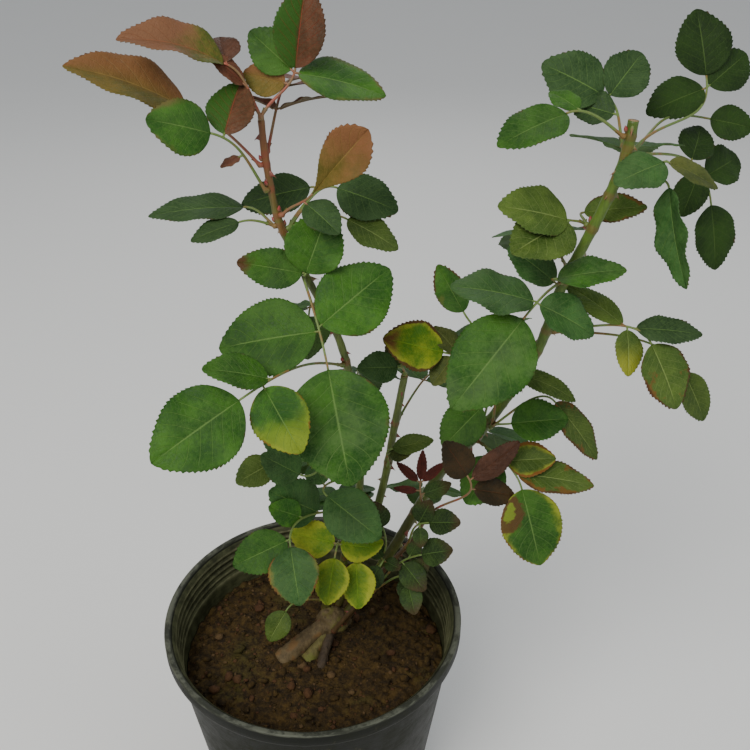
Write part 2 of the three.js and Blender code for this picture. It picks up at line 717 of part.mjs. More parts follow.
// Leaflet rows run from the stalk to the tip; each row has a left edge, a midrib and a right edge
const ROWS_LARGE = [0.04, 0.24, 0.52, 0.82, 1];
const ROWS_SMALL = [0.04, 0.28, 0.68, 1];
const SMALL_LENGTH = 38;

function halfWidth(share, leaf) {
  const swell = Math.sin(Math.PI * Math.pow(share, leaf.shoulder));
  return 0.5 * leaf.ratio * leaf.length * Math.pow(swell, LEAF_FULLNESS);
}

function leafletRows(leaf) {
  const side = leaf.normal.clone().cross(leaf.axis);
  const rows = leaf.length < SMALL_LENGTH ? ROWS_SMALL : ROWS_LARGE;
  const curl = rad(leaf.curl);
  const fold = rad(LEAF_FOLD);
  const result = [];
  const stalkStart = leaf.base.clone().addScaledVector(leaf.axis, -leaf.sink);
  result.push({ mid: stalkStart, normal: leaf.normal, side, half: STALK_WIDTH, lift: 0 });
  let mid = leaf.base.clone();
  let before = 0;
  rows.forEach((share) => {
    const angle = curl * ((share + before) / 2 - STILL_SHARE);
    const step = (share - before) * leaf.length;
    mid = mid.clone();
    mid.addScaledVector(leaf.axis, step * Math.cos(angle));
    mid.addScaledVector(leaf.normal, -step * Math.sin(angle));
    before = share;
    const here = curl * (share - STILL_SHARE);
    const normal = leaf.normal.clone().multiplyScalar(Math.cos(here));
    normal.addScaledVector(leaf.axis, Math.sin(here));
    const half = Math.max(share === 1 ? 0 : halfWidth(share, leaf), STALK_WIDTH * TIP_WIDTH_SHARE);
    result.push({ mid, normal, side, half: half * Math.cos(fold), lift: half * Math.sin(fold) });
  });
  return result;
}

// A leaflet is a thin blade: full depth along the midrib, thinning out to both edges
function leafletBody(leaf) {
  const corners = [];
  const triangles = [];
  const rows = leafletRows(leaf);
  rows.forEach((row) => {
    const raised = row.mid.clone().addScaledVector(row.normal, row.lift);
    const edge = (hand) => raised.clone().addScaledVector(row.side, hand * row.half);
    const rib = (face) => row.mid.clone().addScaledVector(row.normal, face * 0.5 * LEAF_THICKNESS);
    [edge(1), rib(1), edge(-1), rib(-1)].forEach((corner) => corners.push(corner.toArray()));
  });
  const end = rows.length - 1;
  for (let i = 0; i < end; i += 1) {
    for (let k = 0; k < 4; k += 1) {
      const a = i * 4 + k;
      const b = i * 4 + ((k + 1) % 4);
      triangles.push([a, b, b + 4], [a, b + 4, a + 4]);
    }
  }
  triangles.push([0, 2, 1], [0, 3, 2]);
  triangles.push([end * 4, end * 4 + 1, end * 4 + 2], [end * 4, end * 4 + 2, end * 4 + 3]);
  return bodyOf(corners, triangles);
}

// True when no part of the leaflet comes near a cane
function clearOfCanes(leaf) {
  const rows = leafletRows(leaf).slice(1);
  const points = [];
  rows.forEach((row, i) => {
    const next = rows[Math.min(i + 1, rows.length - 1)];
    for (const part of CLEAR_ROWS) {
      for (const column of CLEAR_COLUMNS) {
        const here = row.mid.clone().addScaledVector(row.side, column * row.half);
        const there = next.mid.clone().addScaledVector(next.side, column * next.half);
        points.push(here.lerp(there, part));
      }
    }
  });
  const nearest = new THREE.Vector3();
  for (const key of Object.keys(CANES)) {
    const line = lines[key];
    for (let k = 1; k < line.points.length; k += 1) {
      const stride = new THREE.Line3(line.points[k - 1], line.points[k]);
      const keep = radiusAt(key, line.reach[k - 1] / line.length) + CLEAR_OF_CANE;
      for (const point of points) {
        stride.closestPointToPoint(point, true, nearest);
        if (nearest.distanceTo(point) < keep) return false;
      }
    }
  }
  return true;
}

function leafletAt(rachis, side, face, spec) {
  const [share, swing, length, tilt, ratio] = side;
  const way = rachis.getTangent(share);
  const look = face.clone().addScaledVector(way, -face.dot(way)).normalize();
  const across = look.clone().cross(way);
  const flat = way.multiplyScalar(Math.cos(rad(swing))).addScaledVector(across, Math.sin(rad(swing)));
  const hang = rad(SIDE_HANG);
  const axis = flat.clone().multiplyScalar(Math.cos(hang)).addScaledVector(look, -Math.sin(hang));
  const normal = face.clone().addScaledVector(axis, -face.dot(axis)).normalize();
  normal.applyAxisAngle(axis, rad(tilt));
  const base = rachis.getPoint(share).addScaledVector(axis, STALK_LENGTH);
  return { ...spec, base, axis, normal, length, sink: STALK_LENGTH, ratio: ratio || spec.ratio };
}

function pairedSides(size, pairs, roll) {
  const shares = PAIR_SHARES[pairs];
  const sides = [];
  shares.forEach((share, k) => {
    const length = size * (PAIR_SIZE - PAIR_SIZE_STEP * (shares.length - 1 - k));
    for (const hand of [1, -1]) {
      const swing = hand * THREE.MathUtils.lerp(...PAIR_SWING, roll());
      sides.push([share, swing, length * THREE.MathUtils.lerp(...PAIR_SCATTER, roll()), 0]);
    }
  });
  return sides;
}

// A leaf on the far side, all from the rule
function farLeaf(spray, foot, roll) {
  const heading = spray.toward[0] + FAR_SWERVE * (roll() - 0.5);
  const rise = spray.toward[1];
  const reach = THREE.MathUtils.lerp(...FAR_REACH, roll());
  const size = THREE.MathUtils.lerp(...FAR_SIZE, roll());
  const to = foot.clone().addScaledVector(towards(heading, rise), reach).toArray();
  const aim = [heading + FAR_AIM_SWERVE * (roll() - 0.5), rise - FAR_RISE_DROP];
  const pairs = roll() < FAR_ONE_PAIR ? 1 : 2;
  return { to, aim, size, face: [heading, FAR_FACE_RISE], pairs };
}

function sprayBody(spray, seed) {
  const line = lines[spray.on];
  const share = spray.at;
  const centre = pointAt(line, share);
  const way = tangentAt(line, share);
  const roll = dice(seed);
  const leaves = spray.leaves || [farLeaf(spray, centre, roll)];
  const out = new THREE.Vector3();
  leaves.forEach((leaf) => out.add(V(leaf.to).sub(centre)));
  let foot;
  if (share === 1) {
    out.copy(way);
    foot = centre.clone().addScaledVector(way, GAP);
  } else {
    out.addScaledVector(way, -out.dot(way)).normalize();
    foot = centre.clone().addScaledVector(out, radiusAt(spray.on, share) + GAP);
  }
  const bodies = [];
  leaves.forEach((leaf, n) => {
    const end = V(leaf.to);
    const aim = towards(leaf.aim[0], leaf.aim[1]);
    const face = towards(leaf.face[0], leaf.face[1]);
    const rachis = rachisOf(foot, out, end, aim);
    const path = [foot.clone(), ...rachis.getPoints(PETIOLE_STEPS)];
    const radii = path.map((p, i) => {
      const slim = i / (path.length - 1);
      return THREE.MathUtils.lerp(PETIOLE_RADIUS - n * FORK_SLIMMING, PETIOLE_END_RADIUS, slim);
    });
    bodies.push(limb(path, radii, PETIOLE_SIDES, out, aim));
    const spec = { ratio: LEAF_RATIO, shoulder: LEAF_SHOULDER, curl: LEAF_CURL };
    const sides = leaf.sides || pairedSides(leaf.size, leaf.pairs, roll);
    const leaflets = sides.map((side) => leafletAt(rachis, side, face, spec));
    const look = face.clone().addScaledVector(aim, -face.dot(aim)).normalize();
    leaflets.push({
      base: end,
      axis: aim,
      normal: look,
      length: leaf.size,
      sink: END_STALK_LENGTH,
      ratio: leaf.ratio || LEAF_RATIO,
      shoulder: leaf.shoulder || LEAF_SHOULDER,
      curl: leaf.curl || LEAF_CURL,
    });
    leaflets.filter(clearOfCanes).forEach((leaflet) => bodies.push(leafletBody(leaflet)));
  });
  return wholeOf(joined(bodies));
}

function node(name, body, colour, roughness) {
  const material = new THREE.MeshStandardMaterial({ color: colour, roughness, metalness: 0 });
  const mesh = new THREE.Mesh(geometryOf(body), material);
  mesh.name = name;
  return mesh;
}

const bush = new THREE.Group();
bush.name = "potted bush";
bush.add(node("pot", potBody(), POT_COLOUR, 0.6));
bush.add(node("soil", soilBody(), SOIL_COLOUR, 0.95));
bush.add(node("crown", crownBody(), CROWN_COLOUR, 0.85));
for (const key of Object.keys(CANES)) {
  const colour = key === "shoot" || key === "spur" ? SHOOT_COLOUR : CANE_COLOUR;
  caneBodies(key).forEach(({ name, body }) => bush.add(node(name, body, colour, 0.7)));
}
[...SPRAYS, ...FAR_SPRAYS].forEach((spray, seed) => {
  bush.add(node(spray.name, sprayBody(spray, seed + 1), TINTS[spray.tint], 0.6));
});

export default bush;
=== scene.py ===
import math

import bmesh
import bpy
import numpy as np
from bpy.props import FloatProperty, FloatVectorProperty, IntProperty, PointerProperty
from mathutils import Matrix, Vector


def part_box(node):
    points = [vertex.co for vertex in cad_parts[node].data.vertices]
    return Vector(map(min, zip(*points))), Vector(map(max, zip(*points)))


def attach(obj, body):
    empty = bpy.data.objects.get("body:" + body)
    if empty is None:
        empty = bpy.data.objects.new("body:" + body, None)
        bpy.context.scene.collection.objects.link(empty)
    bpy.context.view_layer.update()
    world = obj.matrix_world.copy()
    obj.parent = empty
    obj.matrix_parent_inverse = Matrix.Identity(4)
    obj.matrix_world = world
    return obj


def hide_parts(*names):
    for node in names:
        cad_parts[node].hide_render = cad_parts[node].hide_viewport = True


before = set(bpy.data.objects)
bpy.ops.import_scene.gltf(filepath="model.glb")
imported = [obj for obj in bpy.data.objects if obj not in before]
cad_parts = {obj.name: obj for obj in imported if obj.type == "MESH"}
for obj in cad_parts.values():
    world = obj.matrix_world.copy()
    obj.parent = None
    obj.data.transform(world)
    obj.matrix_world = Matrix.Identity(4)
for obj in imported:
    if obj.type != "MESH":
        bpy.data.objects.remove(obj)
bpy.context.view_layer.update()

bl_info = {
    "name": "Potted rose bush",
    "version": (1, 0, 0),
    "blender": (4, 5, 0),
    "location": "View3D > Sidebar > Rose bush",
    "description": "Dresses a young rose bush and its nursery pot over their plain solids",
    "category": "Add Mesh",
}

POT_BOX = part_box("pot")
SOIL_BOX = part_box("soil")

# Lengths below are millimetres, and a mesh turns them into metres as it is made
MM = 0.001
CLOSED_SIDES = 192
MERGE_REACH = 0.01
NEARLY_ALONG_Y = 0.8

# Pot, from its packed box
RIM_RADIUS = POT_BOX[1].x / MM
POT_HEIGHT = POT_BOX[1].z / MM
SHOULDER_SHARE = 106 / 110
BASE_SHARE = 80 / 110
RIM_BAND_HEIGHT = 11
RIM_BAND_DEPTH = 3.2
WALL = 2.4
FLOOR = 3
RIB_COUNT = 4
RIB_PITCH = 5.5
RIB_ROWS = 8
DRAIN_COUNT = 8
DRAIN_RADIUS = 5
DRAIN_CIRCLE = 62

# Pot wall: its roundings, how far its rows start from the ground or from the top, the rim band's
# foot as step and drop, the band's lower edge as insets and rises, the lip's inner edge as insets
# and drops, and the floor with its inner disc and its pierced sectors
ARC_ROWS = 6
FOOT_ROUNDING = 3
LIP_ROUNDING = 1.4
OUTER_START = 12
OUTER_ROWS = 24
BAND_UNDERCUT = 1.5
BAND_FOOT = (0.3, 0.4)
BAND_EDGE = ((1.4, 0.2), (0.4, 0.9), (0, 2.2), (0, 5))
LIP_EDGE = ((0, 0.05), (0.7, 0.6))
RIB_START_DROP = 4
RIB_END_DROP = 7
INNER_START_DROP = 34
INNER_ROWS = 14
FLOOR_PLAY = 0.2
FLOOR_DISC = 42
SECTOR_STEPS = 24
SECTOR_ROWS = 6

# Soil: its outline, its waves, the gap to its neighbours, its crumbs and the loose clods on it
SOIL_LEVEL = 155
SOIL_RINGS = 140
SOIL_SIDES = 384
SOIL_PLAY = 0.5
SOIL_FOOT_INSET = 4
SOIL_SIDE_DROP = 6
SOIL_BEVEL = 1
SOIL_HUB = 0.4
EDGE_SINK = 2.2
EDGE_REACH = 5
CLOD_HEIGHT = 3.2
WAVE_SHARE = 0.45
LUMP_SHARE = 0.35
CALM_CENTRE = (-3, -1)
CALM_RADIUS = 34
CALM_FADE = 0.5
SOIL_WAVES = ((0.21, 0.13), (0.19, 0.07))
SOIL_LUMPS = ((0.47, 1.3), (0.53, 0.4))
GRAIN_CUT = -0.2
GRAIN_SHARES = (0.9, 0.55, 0.25)
GAP = 0.35
CRUMB_RINGS = 4
CRUMB_SIDES = 6
CRUMB_POLE = 0.35
CRUMB_TURN = 6
CRUMB_STRETCH = (0.6, 1.3)
CRUMB_FLATNESS = 0.6
CRUMB_SPREAD = (0.75, 1.2)
BIG_CLODS = 90
BIG_CLOD_SIZE = (2.4, 4.6)
SMALL_CLOD_SIZE = (0.7, 1.7)
CLOD_INSET = 6
CLOD_HUB = 0.01
CLOD_LIFT = 0.35
CLOD_KINDS = (0.62, 0.28, 0.10)
CLOD_SEED = 77

# Crown of the bush with its three bared legs
CROWN_CENTRE = (14, 12, 173)
CROWN_RADII = (13, 11.5, 9.5)
KNOB_ROWS = 44
KNOB_SIDES = 64
KNOB_POLE = 0.03
KNOB_BUMP = 0.9
KNOB_GRAIN = 0.45
LEG_FLARE = 1.35
LEG_SINK = 5
LEG_ROWS = 46
LEG_SIDES = 40
LEG_SLIMMING = 0.97
LEG_GRAIN = (1, 1, 0.25)
LEG_FLARE_POWER = 3
LEG_RIDGE = 0.3
LEG_RIDGE_SPREAD = 3
LEG_BUMP = 0.5
LEGS = (
    {"foot": (-25, -8), "radii": (6.8, 6), "bow": 3},
    {"foot": (-6, -9), "radii": (5, 5.2), "bow": 1},
    {"foot": (3, -23), "radii": (3, 4), "bow": 0},
)

# Rolling heights: the wavelength and the seed of each, and how their waves vary
RELIEFS = {
    "bark_ripples": (2.1, 11),
    "bark_swells": (9, 12),
    "leg_ridges": (3.4, 21),
    "leg_bumps": (12, 22),
    "knob_bumps": (10, 31),
    "knob_grain": (3, 32),
    "soil_crumbs": (9, 41),
    "soil_grain": (3.4, 42),
    "soil_dust": (1.7, 43),
}
RELIEF_WAVES = 9
RELIEF_PACES = (0.6, 1.6)
RELIEF_PEAK = 1.4

# Canes: each limb runs through its stations and tapers between two radii
CANE_STRIDE = 16
CANE_FINE_STRIDE = 3
CANE_SIDES = 20
CANE_ROW_PITCH = 1.4
CANE_GRAIN = (1, 1, 0.12)
BARK_SWELL_SHARE = 0.5
BLUSH_REACH = 3
SCAR_SWELLS = ((0.32, 3.2), (0.2, 0.9))
SCAR_RADIUS = 3
TANGENT_STEP = 0.004
CANES = {
    "left": {
        "radii": (3.3, 1.9),
        "stations": [
            (7, 19, 178), (24, 17, 235), (35, 12, 300), (33, 4, 370), (24, -2, 425),
            (3, -5, 475), (-9, -5, 505), (-14, -5, 540), (-15, -5, 560),
        ],
        "names": ("left_cane_lower", "left_cane_upper"),
    },
    "middle": {
        "radii": (3.4, 2.4),
        "stations": [(17, 21, 181), (38, 24, 235), (52, 19, 300), (59, 16, 350), (65, 12, 392)],
        "names": ("middle_cane",),
    },
    "right": {
        "radii": (3.8, 2.9),
        "stations": [
            (25, 15, 178), (56, 20, 232), (92, 16, 312), (116, 10, 349), (136, 4, 390),
            (149, 0, 424), (156, -4, 462), (165, -8, 490), (173, -10, 514), (180, -12, 540),
            (182, -12, 562),
        ],
        "names": ("right_cane_lower", "right_cane_middle", "right_cane_upper"),
    },
    "shoot": {
        "radii": (2.2, 1.5),
        "stations": [(22, 5, 177), (46, 8, 218), (62, 3, 246), (74, -1, 268), (80, -3, 284)],
        "names": ("young_shoot",),
    },
    "spur": {
        "radii": (2, 1.3),
        "stations": [(14, 1, 172), (27, 0, 193), (44, -2, 216)],
        "names": ("low_spur",),
    },
}

# Draws: how a seed starts the state, and how the state is multiplied and wrapped
DRAW_STRIDE = 7919
DRAW_START = 17
DRAW_FACTOR = 16807
DRAW_WRAP = 2147483647

# Leaf rule: angles are degrees, and shares run along a leaflet, its rachis or its cane
LEAF_RATIO = 0.78
LEAF_SHOULDER = 0.8
LEAF_FULLNESS = 0.72
LEAF_CURL = 18
LEAF_FOLD = 9
STILL_SHARE = 0.35
STALK_LENGTH = 2
STALK_WIDTH = 0.7
TIP_WIDTH_SHARE = 0.6
SIDE_HANG = 6
PETIOLE_RADIUS = 1.05
PETIOLE_END_RADIUS = 0.7
RISE_AT = 0.33
RISE_BY = 0.1
SETTLE_BY = 0.35
RACHIS_STEP = 1e-4
COLLAR = 1.5
CLEAR_OF_CANE = 1.2
CLEAR_COLUMNS = (-1, -0.5, 0, 0.5, 1)
PAIR_SHARES = {1: (0.62,), 2: (0.42, 0.76)}
PAIR_SIZE = 0.86
PAIR_SIZE_STEP = 0.13
PAIR_SWING = 58
PAIR_SWING_SPREAD = 10
PAIR_LEAST = 0.92
PAIR_SPREAD = 0.16
FAR_REACH = (50, 62)
FAR_SIZE = (35, 45)
FAR_RISE_DROP = 40
FAR_FACE_RISE = 76
FAR_SWERVE = 16
FAR_AIM_SWERVE = 20
FAR_ONE_PAIR = 0.5
ROWS_LARGE = (0.04, 0.24, 0.52, 0.82, 1)
ROWS_SMALL = (0.04, 0.28, 0.68, 1)
SMALL_LENGTH = 38

# Leaf blades: columns as shares of the half width, relief, and what the draws range between
BLADE_HALF = (0.06, 0.18, 0.38, 0.58, 0.78, 0.94, 1)
ROWS_A_TOOTH = 3
FEWEST_TEETH = 9
FULL_TOOTH_LENGTH = 40
TOOTH_SPREAD = (0.6, 1.3)
TOOTH_FORWARD = 0.7
TEETH_START = 0.05
TEETH_RISE = 0.1
TEETH_END = 0.05
TIP_HALF_WIDTH = 0.3
LEAN_SPREAD = (-0.05, 0.05)
FOLD_SPREAD = (-3, 6)
FOLD_ROUNDING = 0.006
FOLD_SINK = 0.08
DROOP_SPREAD = (0.03, 0.12)
DROOP_POWER = 2.5
WAVE_SPREAD = (0.03, 0.09)
WAVE_POWER = 1.6
BEAT_SPREAD = (1.4, 2.6)
VEIN_SLANT = 0.27
VEIN_STAGGER = 0.4
QUILT_POWER = 0.6
QUILT_FROM_RIB = 0.1
QUILT_END = 1.02
QUILT_TO_EDGE = 0.35
QUILT_FROM_FOOT = 0.12
FULL_QUILT_LENGTH = 45
FULL_GROOVE_LENGTH = 40
GROOVE_DEPTH = 0.28
GROOVE_WIDTH = 0.05
RIB_THICKNESS = 0.55
RIB_WIDTH = 0.07
RIB_TAPER = 1.05
GOLDEN_SHARE = 0.6180339
SEED_STEPS = (31, 7)

# Leaf stalks: rows, corners and how deep the foot is sunk; the joint's swelling; stipules
PETIOLE_ROWS = 26
PETIOLE_SIDES = 8
PETIOLE_SUNK = 0.6
PETIOLE_TAPER = 0.7
PETIOLE_SLIMMING = 0.92
JOINT_SWELL = 0.75
JOINT_REACH = 0.03
STALKLET_RADII = (0.75, 0.62, 0.6, 0.3)
STALKLET_SIDES = 6
STALKLET_FOOT = 0.2
STALKLET_END = 1.5
STALKLET_DIP = 0.3
STALKLET_MARK = 0.8
STIPULE = {"length": 5, "ratio": 0.2, "shoulder": 0.6, "curl": 25}
STIPULE_AT = 0.01
STIPULE_WAY_AT = 0.03
STIPULE_SPREAD = 0.22
STIPULE_SEED = 900

# Thorns: how many, the shares of the cane between which they stand, their height, their finish
THORNS = {
    "left": (30, 0.05, 0.97, 0.8, 1),
    "middle": (16, 0.06, 0.94, 0.8, 1),
    "right": (40, 0.04, 0.985, 1.0, 0),
    "shoot": (12, 0.1, 0.9, 0.6, 2),
    "spur": (4, 0.2, 0.9, 0.5, 2),
}
THORN_SEED = 200
THORN_SCATTER = 0.012
THORN_SWING = 0.75
THORN_SHARES = (0.55, 1.1)
THORN_FOOT = 0.93
THORN_OWN_FINISH = 0.6
PRICKLE_ROWS = 9
PRICKLE_SIDES = 10
THORN_SUNK = 0.12
THORN_HOOK = 0.55
THORN_LONG = 0.62
THORN_WIDE = 0.24
THORN_POINT = 0.05
THORN_BEND = 2.2
THORN_TAPERS = (1.6, 1.1)
BUD_ALONG = 3.6
BUD_OUT = 1.4
BUD_RADIUS = 1.15
BUD_FOOT_SHARE = 0.08
BUD_RUN = 0.9
BUD_SWELL = 0.8
BUD_ABOVE = 2.0
BUD_SUNK = 0.4
RED_THORN = 2
RED_BUD = 3

# Stage: places and sizes are metres; a light has a place, a size and a colour
CAMERA_SENSOR = 36
CAMERA_LENS = 42.24
CAMERA_PITCH = 30.4
CAMERA_PLACE = (0.0458, -0.4793, 0.6807)
CAMERA_NEAREST = 0.01
SKY_COLOUR = (0.93, 0.96, 1.0)
LIGHTS_MEET = (0.06, 0, 0.32)
LIGHTS = {
    "key": ((-0.7, -1.3, 1.9), 1.3, (1.0, 0.97, 0.92)),
    "fill": ((1.5, -0.6, 1.0), 1.6, (0.93, 0.97, 1.0)),
    "rear": ((0.2, 1.6, 1.5), 1.4, (1.0, 1.0, 1.0)),
}

# Colours of things that no setting changes
BROWN = (0.070, 0.026, 0.008)
DRY = (0.17, 0.085, 0.030)
DUST = (0.085, 0.135, 0.055)
UNDERSIDE = (0.12, 0.165, 0.075)
STRAW = (0.30, 0.31, 0.025)
RUST = (0.165, 0.050, 0.010)
SUNNY = (0.195, 0.074, 0.032)
LOW_BARK = (0.060, 0.038, 0.014)
RED_BARK = (0.13, 0.03, 0.018)
CANE_BLUSH = (0.20, 0.035, 0.02)
RIGHT_BLUSH = (0.16, 0.05, 0.02)
SHOOT_BLUSH = (0.24, 0.06, 0.045)
CUT_WOOD = (0.19, 0.11, 0.055)
CUT_PITH = (0.42, 0.30, 0.17)
POT_SPLASH = (0.075, 0.070, 0.042)
POT_SILT = (0.090, 0.096, 0.046)
POT_CREST = (0.19, 0.19, 0.105)
POT_EDGE = (0.125, 0.132, 0.10)
TAN_GRAIN = (0.105, 0.062, 0.030)
REDDISH_CLOD = (0.085, 0.036, 0.016)
TAN_FLAKE = (0.120, 0.072, 0.032)
FLOOR_COLOURS = (0.80, 0.80, 0.78), (0.76, 0.76, 0.74)

# Old wood: the colours of its clefts, ridges and worn places, and how much is worn
OLD_BARKS = {
    "grey_bark": ((0.060, 0.040, 0.016), (0.145, 0.104, 0.048), (0.150, 0.080, 0.026), 0.4),
    "yellow_bark": ((0.062, 0.052, 0.014), (0.150, 0.128, 0.040), (0.105, 0.115, 0.020), 0.5),
    "dark_bark": ((0.028, 0.018, 0.010), (0.072, 0.050, 0.028), (0.09, 0.055, 0.022), 0.1),
    "knob_bark": ((0.055, 0.038, 0.016), (0.140, 0.100, 0.046), (0.11, 0.10, 0.022), 0.35),
}

# Thorns and buds: the colours of base and point, in the order of their finishes
THORN_LOOKS = {
    "green_thorns": ((0.14, 0.17, 0.05), (0.20, 0.07, 0.03)),
    "tan_thorns": ((0.20, 0.17, 0.08), (0.24, 0.11, 0.05)),
    "red_thorns": ((0.20, 0.06, 0.04), (0.16, 0.03, 0.02)),
    "red_buds": ((0.16, 0.09, 0.04), (0.26, 0.03, 0.03)),
}


def leaf_of(to, aim, size, face=(270, 40), sides=(), **more):
    """A leaf: where its end leaflet starts, that leaflet's heading and rise, length and facing.

    Each side leaflet is its share of the rachis, swing, length and tilt and, where it isn't the
    usual one, its ratio of width to length. Finishes name the side leaflets first.
    """
    return {"to": to, "aim": aim, "size": size, "face": face, "sides": sides, **more}


def spray_of(name, on, at, tint, *leaves):
    """Leaves that grow from one point of a cane."""
    return {"name": name, "on": on, "at": at, "tint": tint, "leaves": leaves}


